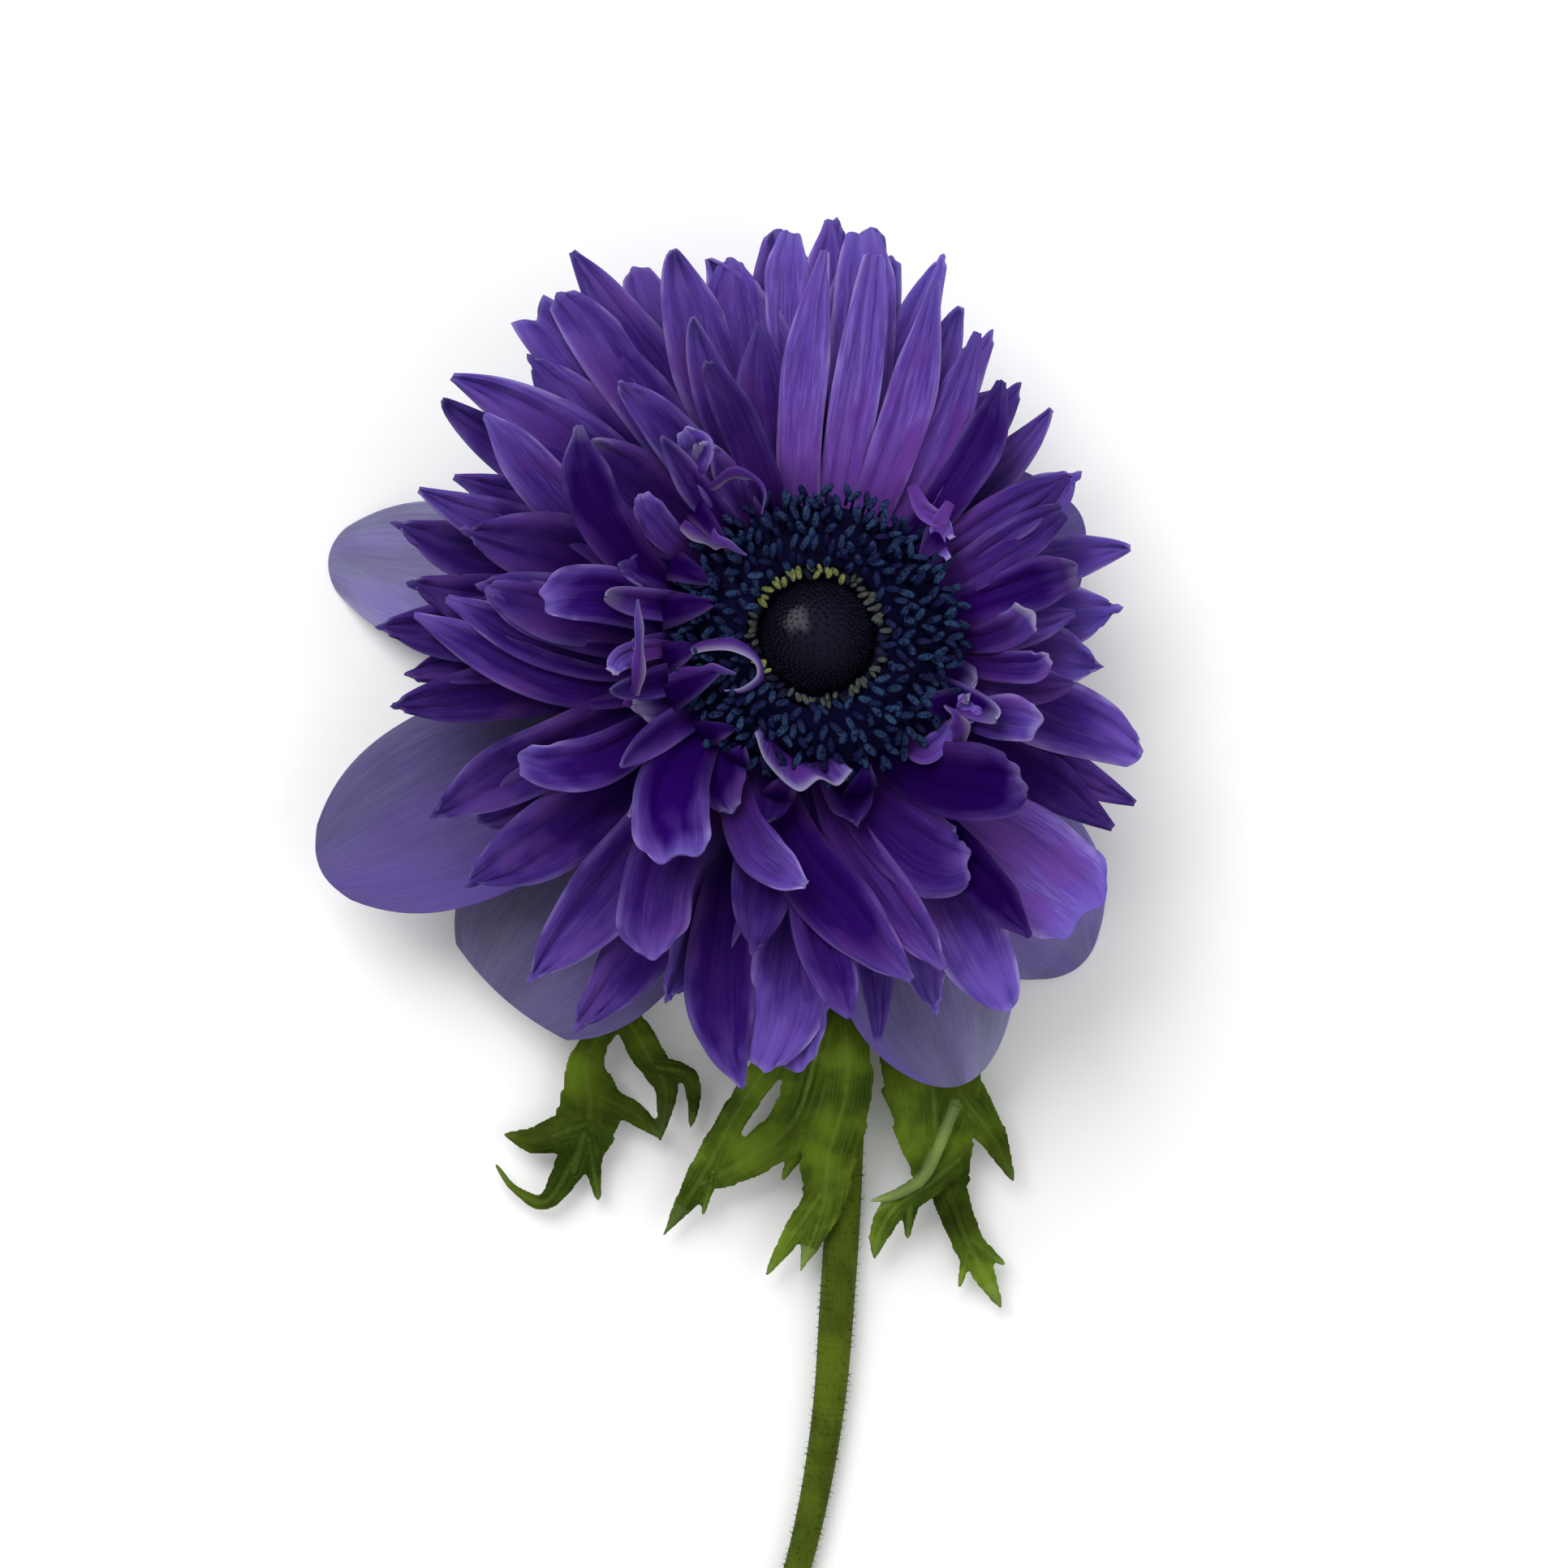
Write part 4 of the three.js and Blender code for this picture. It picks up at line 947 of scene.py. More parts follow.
# Small petals that are folded nearly shut and fill the crowd round the disc
SHUT_BOWL = UPPER_BOWL | {"fold": (0.3, 0.6), "lift": 0.9, "tone": 0.4}
SHUT_PETALS = [
    (117, 24.5, 2.8, "pointed", 0.8, 0, 0.5),
    (129, 28, 3, "pointed", 0.6, 0, -0.5),
    (166, 25, 3, "pointed", 1, 0, 1),
    (196, 24.5, 3, "pointed", 0.8),
    (212, 26.5, 3.2, "pointed", 0.6, 0, 1),
    (335, 23.5, 3, "pointed", 1.2, 0, 0.6),
]
UPPER_ALONE = [
    ([(-14, 3, 3), (-19.5, 7.5, 4.8), (-23.6, 13, 6), (-25.4, 18, 5), (-26, 22.5, 0.8)],
     0.2, 0.15, 0.5, 0.9, 0.3, 0.2),
    ([(-12, -1, 3), (-17.5, 2.2, 4.6), (-22.5, 4.4, 6.4), (-27, 4.4, 6), (-30, 3.6, 3.6)],
     0.1, 0.15, 0.8, 0.9, 0.12, 0.18),
    ([(-12, 14, 2), (-14, 17.5, 3.6), (-13.6, 20.5, 4.4), (-14.6, 22.5, 2)], 0.6, 0.3, 0.8, 0.3, 0.25, 0.2),
    ([(-13, 8, 2), (-16.5, 11, 3.6), (-18.4, 13.5, 3.6), (-19.3, 15.5, 1.6)], 0.8, 0.3, 0.75, 0.3, 0.3, 0.2),
    ([(-11, -8, 3.6), (-14, -12.5, 6.2), (-16, -17, 8.4), (-15.8, -21.5, 8.6), (-15.3, -24.6, 7)],
     0.4, 0.15, 0.75, 1, 0.1, 0.24),
    ([(-9.5, -9, 3.4), (-10.6, -13, 5.6), (-10.6, -16.4, 5.4), (-9.4, -19.4, 2.6)],
     1, 0.2, 0.4, 1, 0.3, 0.16),
    ([(-9, -15, 2.4), (-8.4, -20, 4.4), (-6.4, -23.6, 5.4), (-3.6, -26, 4.4), (-1.2, -27.4, 1)],
     -0.6, 0.3, 0.8, 0.4, 0.25, 0.2),
    ([(6, -11, 4), (11, -14.6, 7), (16, -16, 8.6), (20.5, -16.4, 7.4), (22.6, -16, 4)],
     -0.4, 0.1, 0.42, 1, 0.25, 0.14),
    ([(12, -5.6, 2.4), (17, -8.4, 3.8), (20.6, -9, 5.2), (24.4, -9.6, 4)], 0, 0.3, 0.75, 0.5, 0.3, 0.16),
    ([(13, -9.6, 1.6), (15, -9, 2.8), (16.8, -7.6, 3.2), (17.6, -6.6, 1.6)], 1.4, 0.7, 0.9, 0, 0.8, 0.2),
    ([(9, -10.5, 2), (11.4, -12.6, 3), (13.4, -11.6, 2.6), (14.8, -9.4, 1.2)], 1.6, 0.5, 0.7, 0.3, 0.2, 0.2),
    ([(14, -0.5, 2), (18, -0.4, 3.2), (21, 0.6, 4), (23.4, 2.6, 3.8)], 0.4, 0.2, 0.5, 0.7, 0.9, 0.4),
    ([(15.5, -3, 2), (19.5, -3.4, 3.4), (23.6, -3.4, 3.6), (25.4, -2.4, 1.6)], 0.2, 0.2, 0.6, 0.6, 0.5, 0.3),
    ([(10.4, 16.4, 1.2), (11.6, 13.8, 2), (13.6, 12.4, 1.8), (14.8, 10.6, 0.6)], 2.4, 0.5, 0.9, 0, 0.5, 0.3),
    ([(14.5, 14.5, 1.2), (13.2, 12, 1.8), (13.4, 9.8, 1.4), (14.4, 8.4, 0.4)], 3, 0.5, 0.9, 0, 0.5, 0.3),
    ([(-15, -1.4, 1.6), (-18.6, -1.6, 2.4), (-21.4, -2.6, 2.8), (-22.6, -4.2, 1.4)],
     2, 0.3, 0.7, 0.2, 0.7, 0.3),
]
PETALOID_FOOT = 18.2
FOOT_SPREAD = (-1.2, 1.6)
FOOT_SUNK = 0.45
PETALOID_SKEW = 2
PETALOID_NARROWING = 0.88
PETALOID_CUP = 0.12
PETALOID_RUFFLE = 0.25
# Direction, width, and the radius and height of the tip
PETALOIDS = [
    (-26, 4.4, 13.6, 29.2),
    (41, 4, 14.4, 29),
    (134, 2.8, 13.4, 31),
    (154, 3.8, 13.4, 29.6),
    (171, 4.6, 12.2, 30.2),
    (189, 4, 13.4, 29.4),
    (203, 3.6, 11.8, 31.2),
    (220, 3.8, 13.8, 29.4),
    (238, 3.8, 15, 29.2),
    (256, 4, 15.8, 28.6),
    (285, 4.2, 15.6, 28.6),
]


def petaloid_place(width, at, tip_radius, tip_height, chance):
    """The place function of a small petal that curls in over the stamens."""
    foot_radius = PETALOID_FOOT + chance.uniform(*FOOT_SPREAD)
    foot = bowl_height(UPPER_BOWL, foot_radius) - FOOT_SUNK
    line = [
        Vector((foot_radius, foot)),
        Vector((foot_radius - 0.4, (foot + tip_height) / 2)),
        Vector(((foot_radius + tip_radius) / 2, tip_height - 0.4)),
        Vector((tip_radius, tip_height - 0.5)),
    ]
    phase = chance.uniform(0, 2 * math.pi)
    skew = chance.uniform(-PETALOID_SKEW, PETALOID_SKEW)

    def place(across, along):
        radius, height = curve_point(line, along)
        half = width / 2 * (1 - PETALOID_NARROWING * along**2.3)
        wave = math.sin(9 * along + phase + across)
        radius -= PETALOID_CUP * width * across**2
        height += PETALOID_RUFFLE * wave * across**2
        return polar(at, radius, across * half + skew * along**2, height)

    return place


def petaloid_look(across, along):
    """Almost as dark as the stamens, with one slightly paler edge towards the tip."""
    return 0.12 - 0.06 * along, 0.4 * along * max(0, across - 0.5), 1


upper_bm = petal_ring(UPPER_BOWL, UPPER_PETALS, 5, (12, 40))
shut_chance = random.Random(57)
for row in SHUT_PETALS:
    add_petal(upper_bm, SHUT_BOWL, Petal(*row), shut_chance.uniform(0.3, 1.6), (8, 30), shut_chance)
add_alone(upper_bm, UPPER_BOWL, UPPER_ALONE, 73)
petaloid_chance = random.Random(8)
for at, width, tip_radius, tip_height in PETALOIDS:
    petaloid = petaloid_place(width, at, tip_radius, tip_height, petaloid_chance)
    add_blade(upper_bm, (8, 24), petaloid, (width, 9), PETAL_THICKNESS, petaloid_look)

# %% [markdown]
# Some petaloids are no more than ribbons: they twist, loop over the stamens and show their pale
# edges. Each follows a smooth curve through given points, and turns about it on its way.

# %% Twisted ribbons
RIBBON_THICKNESS = 0.16
FRAYS = 15
FRAY = 0.22
RIBBON_CUP = 0.22
# Points of x, y, z and the width there, and the turn about the curve at its start and its end
RIBBONS = [
    ([(-15.6, -1.6, 27.6, 1.4), (-12, -1, 30.4, 1.7), (-9, -1, 31.4, 1.5), (-6.6, -2.5, 31.8, 1.3),
      (-6.2, -4.7, 31.4, 1.2), (-8, -6.2, 30.6, 1), (-10.2, -6.2, 29.8, 0.5)], -0.4, -1.1),
    ([(-16.4, -5, 27.6, 1.6), (-13, -4.4, 30, 2), (-10.8, -4.1, 30.8, 1.6), (-9, -4.4, 30.6, 0.5)], 0.2, 1.2),
    ([(-12, 16, 28, 1), (-9.4, 17.4, 30.6, 1.6), (-7.2, 17, 31.4, 1.3), (-6, 15.4, 31.6, 1),
      (-6.2, 13.2, 31, 0.4)], 0.3, 1.7),
    ([(-15, 12.2, 28, 1.2), (-12.2, 10.6, 30.4, 2.2), (-10.4, 9.8, 31.2, 1.6), (-7.8, 8.6, 31, 0.5)], 0, 1.1),
    ([(15.4, -13.4, 26, 1.2), (15.8, -10.4, 28.6, 2.2), (15.2, -8.5, 29.6, 1.6),
      (14, -7.6, 29.2, 0.8)], 0, 1.4),
    ([(-20.6, -8, 27.6, 1.5), (-19.6, -4.6, 30.4, 1.4), (-19.4, -0.4, 31.8, 1.2),
      (-19.6, 3.8, 32.4, 0.4)], 0.1, 0.5),
]


def ribbon_place(points, start_turn, end_turn, chance):
    """The place function of a frayed ribbon that turns about its curve from one angle to another."""
    line = [Vector(point) for point in points]
    phases = {side: chance.uniform(0, 2 * math.pi) for side in (-1, 1)}

    def place(across, along):
        x, y, z, width = curve_point(line, along)
        ahead = curve_ahead(line, along)
        heading = ahead.to_3d().normalized()
        side = heading.cross(Vector((0, 0, 1))).normalized()
        turn = start_turn + (end_turn - start_turn) * along
        side.rotate(Matrix.Rotation(turn, 3, heading))
        fray = 1 + FRAY * math.sin(FRAYS * along + phases[1 if across > 0 else -1])
        cup = heading.cross(side) * RIBBON_CUP * width * across**2
        return Vector((x, y, z)) + side * across * width / 2 * fray + cup

    return place


def ribbon_look(across, along):
    """Dark violet on one side, light lilac towards the other edge and the tip."""
    return 0.5, 0.55 * max(0, across + 0.2) ** 2 + 0.4 * max(0, along - 0.6) ** 1.5, 0.3


ribbon_chance = random.Random(29)
for points, start_turn, end_turn in RIBBONS:
    ribbon = ribbon_place(points, start_turn, end_turn, ribbon_chance)
    add_blade(upper_bm, (6, 36), ribbon, (2, 12), RIBBON_THICKNESS, ribbon_look)

# %% [markdown]
# One broad petaloid stands up at the lower edge of the disc. Only its frilled rim catches the
# light, so it is stretched between two curves: its foot among the stamens and its rim.

# %% The frilled petaloid
FRILL_FOOT = [(-5.6, -9.6, 28), (-4.6, -12, 28), (-1.6, -14, 28), (2.2, -13.4, 28)]
FRILL_RIM = [(-6.9, -10.7, 30.4), (-5.6, -14, 30.4), (-2.2, -17.1, 29.8), (0.2, -15.8, 30.4),
             (2.2, -16.5, 30), (3.8, -14.8, 30.6)]


def frill_place(across, along):
    """A point between the foot and the rim of the frilled petaloid."""
    share = (across + 1) / 2
    foot = curve_point([Vector(point) for point in FRILL_FOOT], share)
    rim = curve_point([Vector(point) for point in FRILL_RIM], share)
    ruffle = Vector((0, 0, 0.35 * along * math.sin(13 * share)))
    return foot.lerp(rim, along) + ruffle


def frill_look(across, along):
    """Blue-violet, with its rim painted pale as a highlight where it catches the light."""
    return 0.5, 0.75 * max(0, along - 0.78) / 0.22, 0.6 * (1 - along)


add_blade(upper_bm, (40, 10), frill_place, (14, 4), RIBBON_THICKNESS, frill_look)
finish_piece(upper_bm, "upper_petal_ring", upper_petal_finish, "petals_upper")

# %% [markdown]
# ## The broad tepals
#
# Behind the narrow petals lie eight broad tepals. They are thicker and greyer, with a network of
# fine veins that fan out from the root. Three of them droop to the surface and carry the bloom.
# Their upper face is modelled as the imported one, with a waved edge, and each is a piece of its own.

# %% Tepal finish and shape
TEPAL_THICKNESS = 0.4
TEPAL_ROOT_WIDTH = 4
TEPAL_CUP = 1.5
TEPAL_DROOP = 1.6
TEPAL_LANDING = 1.2
TEPAL_RUFFLE = 0.25
TEPAL_SWELL = 0.12
TEPAL_CLOUDS = 0.12
VIOLET_CLOUDS = 0.35
UPPER_WHORL = 15.9
LOWER_WHORL = 14.3
# Direction, reach, width, tip, height of the root and of the tip, which is 0 for a tip that lies on the
# surface, then the tone, how violet its two edges are, and how far it pales towards the second one
Tepal = namedtuple("Tepal", "at reach width tip root end look")
TEPALS = [
    Tepal(170, 56.9, 17.6, "broad", LOWER_WHORL, 0, (0.75, 0, 0.2, 0.2)),
    Tepal(204.8, 61.8, 22.5, "broad", UPPER_WHORL, 10, (0.42, 0.3, 1, 0)),
    Tepal(229, 54, 27, "square", LOWER_WHORL, 5.8, (0.45, 0, 0.5, 0)),
    Tepal(288, 53, 20, "broad", UPPER_WHORL, 8, (0.62, 0.7, 0, 0.9)),
    Tepal(309, 48, 21, "broad", LOWER_WHORL, 0, (0.8, 0.6, 0.3, 0.4)),
    Tepal(25, 33, 19, "broad", UPPER_WHORL, 9, (0.5, 0.8, 0.8, 0)),
    Tepal(87, 42.5, 20, "broad", LOWER_WHORL, 0, (0.5, 0.6, 0.6, 0)),
    Tepal(128, 41, 19, "broad", UPPER_WHORL, 7, (0.5, 0.6, 0.6, 0)),
]


def tepal_colours(tone, first_edge, last_edge, paler):
    """The look of a tepal: violet spreads in from its edges and fades towards the tip."""

    def look(across, along):
        cloud = noise.noise(Vector((2 * across, 3 * along, 9 * tone)))
        edge = first_edge + (last_edge - first_edge) * (across + 1) / 2
        violet = edge * (1.15 - 0.5 * along) + VIOLET_CLOUDS * cloud
        shade = tone + TEPAL_CLOUDS * cloud + paler * max(0, across) * along
        return shade, min(1, max(0, violet)), 0.5

    return look


def tepal_place(tepal, chance):
    """The place function of a broad tepal that droops from under the rings."""
    shape = TIPS[tepal.tip]
    width = tepal.width
    length = tepal.reach - COLLAR_INNER
    goal = tepal.end or -TEPAL_LANDING
    phase = chance.uniform(0, 2 * math.pi)

    def place(across, along):
        radius = COLLAR_INNER + length * along - set_back(along, across, width, shape) / 2
        half = half_width(along, width, TEPAL_ROOT_WIDTH, shape)
        height = tepal.root - (tepal.root - goal) * along**TEPAL_DROOP
        height += TEPAL_CUP * across**2 * math.sin(math.pi * min(along, 0.75))
        height += TEPAL_RUFFLE * across**4 * math.sin(11 * along + 3 * across + phase) * along
        height += TEPAL_SWELL * math.sin(14 * across + phase) * math.sin(math.pi * along)
        return polar(tepal.at, radius, across * half, max(height, TEPAL_THICKNESS))

    return place


TEPAL_COLOURS = {
    "Groove": (0.085, 0.072, 0.15),
    "Face": (0.125, 0.112, 0.205),
    "Light": (0.18, 0.18, 0.29),
    "Rib": (0.2, 0.195, 0.31),
    "Root": (0.06, 0.045, 0.1),
    "Heart": (0.075, 0.068, 0.105),
    "Mauve": (0.125, 0.11, 0.18),
    "Tip": (0.165, 0.165, 0.27),
    "Rim": (0.21, 0.2, 0.35),
    "Curl": (0.11, 0.058, 0.34),
}
tepal_finish = petal_material("grey lilac tepal", TEPAL_COLOURS, 0.94, 1.2)
tepal_chance = random.Random(31)
for number, tepal in enumerate(TEPALS, 1):
    tepal_bm = new_blades()
    blade = tepal_place(tepal, tepal_chance)
    size = (tepal.width, tepal.reach - COLLAR_INNER)
    add_blade(tepal_bm, (30, 44), blade, size, TEPAL_THICKNESS, tepal_colours(*tepal.look))
    finish_piece(tepal_bm, f"broad_tepal_{number}", tepal_finish, f"tepal_{number}")

# %% [markdown]
# ## The stalk
#
# The stalk is round, finely ridged and downy. At the bloom it swells into the receptacle, and it
# bends sharply, because the flower was laid down. A grid is wrapped round a list of sections: the
# receptacle, the bend, then the lying stretch, whose route is a smooth curve through given points.
# The seam is merged and both ends are drawn in to closed poles.

# %% Stalk sections
RECEPTACLE_RADIUS = 5.2
RECEPTACLE_TOP = 23.1
RECEPTACLE_BOTTOM = 13.3
NECK_HEIGHT = 10.5
STALK_RADIUS = 2.1
ON_SURFACE = math.cos(math.pi / 12)
STALK_ROUTE = [
    (0, -8.7, 2.1),
    (1.2, -25, 2.1),
    (3.4, -47, 2.1),
    (3.2, -62, 2.1),
    (2.3, -77, 2.05),
    (1.4, -88, 1.88),
    (-0.6, -100, 1.68),
    (-3.6, -111, 1.55),
    (-9, -126, 1.5),
    (-18, -146, 1.55),
]
BEND_STEPS = 16
ROUTE_STEPS = 150
SWELL_STEPS = 12


def stalk_sections():
    """Sections from the receptacle's top to the cut end: middle, side, up and radius."""
    low = STALK_RADIUS * ON_SURFACE
    bend = NECK_HEIGHT - low
    side = Vector((1, 0, 0))
    back = Vector((0, -1, 0))
    top = Vector((0, 0, RECEPTACLE_TOP))
    sections = [(top, side, back, share * RECEPTACLE_RADIUS) for share in (0, 0.5, 0.96)]
    sections.append((Vector((0, 0, RECEPTACLE_TOP - 0.3)), side, back, RECEPTACLE_RADIUS))
    for step in range(SWELL_STEPS + 1):
        share = step / SWELL_STEPS
        height = RECEPTACLE_BOTTOM + (NECK_HEIGHT - RECEPTACLE_BOTTOM) * share
        radius = STALK_RADIUS + (RECEPTACLE_RADIUS - STALK_RADIUS) * (1 - share) ** 1.8
        sections.append((Vector((0, 0, height)), side, back, radius))
    for step in range(1, BEND_STEPS):
        heading = math.pi / 2 * step / BEND_STEPS
        middle = Vector((0, -bend * (1 - math.cos(heading)), low + bend * (1 - math.sin(heading))))
        up = Vector((0, -math.cos(heading), math.sin(heading)))
        sections.append((middle, side, up, STALK_RADIUS))
    route = [Vector(point) for point in STALK_ROUTE]
    for step in range(ROUTE_STEPS + 1):
        share = step / ROUTE_STEPS
        x, y, radius = curve_point(route, share)
        ahead = curve_ahead(route, share, 0.01)
        direction = Vector((ahead.x, ahead.y, 0)).normalized()
        across = Vector((-direction.y, direction.x, 0))
        sections.append((Vector((x, y, radius * ON_SURFACE)), across, Vector((0, 0, 1)), radius))
    middle, across, up, radius = sections[-1]
    sections += [(middle, across, up, radius * share) for share in (0.9, 0.55, 0)]
    return sections


STALK_COLUMNS = 48
RIDGES = 12
RIDGE_DEPTH = 0.035
HALF_GIRTH = 6
STALK_LENGTH = 150
CUT_ROWS = 3
sections = stalk_sections()
stalk_bm = new_blades()
stalk_rows = len(sections) - 1
stalk_layers = stalk_bm.verts.layers.float_vector
stalk_grid = bmesh.ops.create_grid(stalk_bm, x_segments=STALK_COLUMNS, y_segments=stalk_rows, size=1)
for vert in stalk_grid["verts"]:
    round_share = vert.co.x
    along = (vert.co.y + 1) / 2
    number = round(along * stalk_rows)
    middle, side, up, radius = sections[number]
    angle = math.pi * round_share
    ridge = 1 - RIDGE_DEPTH * (0.5 - 0.5 * math.cos(RIDGES * angle))
    spoke = side * math.sin(angle) + up * math.cos(angle)
    vert[stalk_layers["blade_share"]] = (0, along, 0)
    vert[stalk_layers["blade_mm"]] = (abs(round_share) * HALF_GIRTH, along * STALK_LENGTH, 0)
    vert[stalk_layers["blade_look"]] = (0.5, float(number > stalk_rows - CUT_ROWS), 0)
    vert.co = middle + spoke * radius * ON_SURFACE * ridge
bmesh.ops.remove_doubles(stalk_bm, verts=stalk_bm.verts, dist=SAME_PLACE)
bmesh.ops.recalc_face_normals(stalk_bm, faces=stalk_bm.faces)
print("stalk sections", len(sections))

# %% [markdown]
# Down on the stalk is made of small three-sided cones that stand on the skin and lean towards the
# bloom. They are real mesh, because hair curves wouldn't survive the export.

# %% Hairs on the stalk
HAIRS = 1500
HAIR_LENGTH = (0.35, 0.8)
HAIR_RADII = (0.035, 0.004)
HAIR_ARC = 0.62
HAIR_LEAN = 0.7
SKIN = 0.94


def leaning(foot, direction):
    """The matrix of a thing that stands at a foot and points in a direction."""
    return Matrix.Translation(foot) @ direction.to_track_quat("Z", "Y").to_matrix().to_4x4()


def add_cone(bm, sides, radii, length, stand, sunk=0):
    """A small cone with the radii of its foot and its tip, placed by a matrix. Returns its vertices."""
    matrix = stand @ Matrix.Translation((0, 0, length / 2 - sunk))
    size = {"segments": sides, "radius1": radii[0], "radius2": radii[1], "depth": length}
    return bmesh.ops.create_cone(bm, cap_ends=True, matrix=matrix, **size)["verts"]


hair_chance = random.Random(77)
for _ in range(HAIRS):
    number = hair_chance.randrange(SWELL_STEPS + 4, len(sections) - 5)
    middle, side, up, radius = sections[number]
    angle = hair_chance.uniform(-HAIR_ARC, HAIR_ARC) * math.pi
    spoke = side * math.sin(angle) + up * math.cos(angle)
    length = hair_chance.uniform(*HAIR_LENGTH)
    along = side.cross(up) * hair_chance.uniform(-HAIR_LEAN, HAIR_LEAN)
    stand = leaning(middle + spoke * radius * SKIN, spoke + along)
    add_cone(stalk_bm, 3, HAIR_RADII, length, stand)

# %% [markdown]
# The finish of the stalk and the bracts is one recipe too: green flesh with darker and yellower
# patches, paler along the ridges or veins.

# %% Green finishes


def object_noise(tree, scale, detail=2.0):
    """A noise value that is fixed to the piece."""
    return noise_at(tree, add_node(tree, "ShaderNodeTexCoord", {}).outputs["Object"], scale, detail)


def green_material(name, colours, rib_spacing, roughness):
    """Downy green tissue, mixed from the colours of groove, face, vein and pale flesh."""
    material, tree, shader = new_material(name, {"Specular IOR Level": 0.02})
    groove, face, vein_green, flesh = ((*colour, 1) for colour in colours)
    sockets = {"Rib Spacing": rib_spacing, "Rim Start": 0.7}
    masks = add_node(tree, "ShaderNodeGroup", sockets, node_tree=grain).outputs
    tone, pale, vein = parts(tree, attribute(tree, "blade_look"))
    patches = object_noise(tree, 160.0, 4.0)
    colour = mix_colours(tree, soft_step(tree, patches, 0.35, 0.68), groove, face)
    colour = mix_colours(tree, product(tree, masks["Streak"], 0.22), colour, vein_green)
    colour = mix_colours(tree, product(tree, vein, 0.45), colour, vein_green)
    colour = mix_colours(tree, pale, colour, flesh)
    colour = brighten(tree, colour, soft_step(tree, tone, 0.0, 1.0, 0.4, 1.6))
    gloss = soft_step(tree, patches, 0.3, 0.7, roughness - 0.08, roughness + 0.1)
    dress(tree, shader, {"Base Color": colour, "Roughness": gloss}, masks["Height"], 0.3, 0.2)
    return material


STALK_GREENS = [(0.036, 0.056, 0.004), (0.078, 0.114, 0.008), (0.11, 0.16, 0.025), (0.32, 0.38, 0.18)]
stalk_finish = green_material("downy stalk", STALK_GREENS, 0.6, 0.5)
finish_piece(stalk_bm, "downy_stalk", stalk_finish, "stem")

# %% [markdown]
# ## The bracts
#
# Each bract is a leaf cut into narrow toothed lobes. Every lobe is a strap along a curve through
# given points with their widths. Laid over each other the straps would show seams, so the
# straps of one bract are melted together with a voxel remesh and smoothed. After that each
# vertex is measured against the lobes' middle lines, which tells the finish where the midribs,
# the edges and the tips are.

# %% Bract lobes
BRACT_THICKNESS = 0.6
BRACT_VOXEL = 0.24
TEETH_PER_MM = 0.2
TOOTH_SHARE = 0.1
TAPER_FROM = 0.93
TAPER_LENGTH = 0.07
TAPER = 0.6
BRACT_LEFT = [
    [(-0.2, -36.5, 2.4, 3.4), (-14, -35.5, 4.8, 2.8), (-25.4, -46, 3.9, 3.6),
     (-25.9, -53.5, 3.4, 7.8), (-27.8, -60.6, 2.8, 4.8)],
    [(-27.4, -58.6, 3, 4.4), (-30.8, -64, 2.2, 2.4), (-34.4, -62.9, 1.9, 1.1), (-36.9, -59.8, 1.8, 0.5)],
    [(-26, -57, 3.2, 3.4), (-25, -64, 1.9, 0.8)],
    [(-26.4, -55.2, 3.6, 5), (-31.8, -57, 2.8, 3.8), (-35.8, -56.5, 2.2, 0.5)],
    [(-12, -35.8, 4.6, 2.4), (-21, -41.5, 4.5, 3.2), (-19.6, -46.6, 4.2, 4.2),
     (-17.2, -51, 4, 3), (-17.9, -57.2, 2.8, 0.6)],
    [(-24.6, -52, 3.9, 3.4), (-20.8, -54, 3.6, 2.8), (-17.6, -56.6, 3, 1.2)],
    [(-18.2, -48.6, 4.5, 2.8), (-14.8, -49.6, 4, 2.4), (-14, -52.4, 3.4, 1.8), (-14.4, -55.6, 2.6, 0.6)],
]
BRACT_FRONT = [
    [(2.8, -35, 5.2, 3), (-4, -46, 6.4, 4.2), (-9, -53.6, 5.5, 3.6),
     (-12.8, -60.7, 4.2, 4), (-17.5, -68, 2.4, 0.6)],
    [(2.8, -36, 5.25, 3), (0, -47, 6.6, 6.6), (-2.6, -54.7, 5.9, 6),
     (-8, -59.2, 4.8, 4.8), (-13.4, -62, 3.9, 2.6)],
    [(-11.8, -60.6, 4.4, 1.8), (-13, -65.6, 3.4, 0.5)],
    [(-1.6, -56.6, 5.6, 3.4), (-3.9, -61.6, 4.4, 0.5)],
    [(2.8, -36.5, 5.3, 3.2), (3.5, -50, 6.7, 6.2), (1.4, -58.5, 6, 6.8),
     (0.8, -64.2, 5.2, 5), (-1.8, -72, 3.3, 0.7)],
    [(0.4, -63.2, 5.4, 3.4), (-2.9, -68, 4.4, 2.6), (-5.7, -72.5, 3, 0.6)],
]
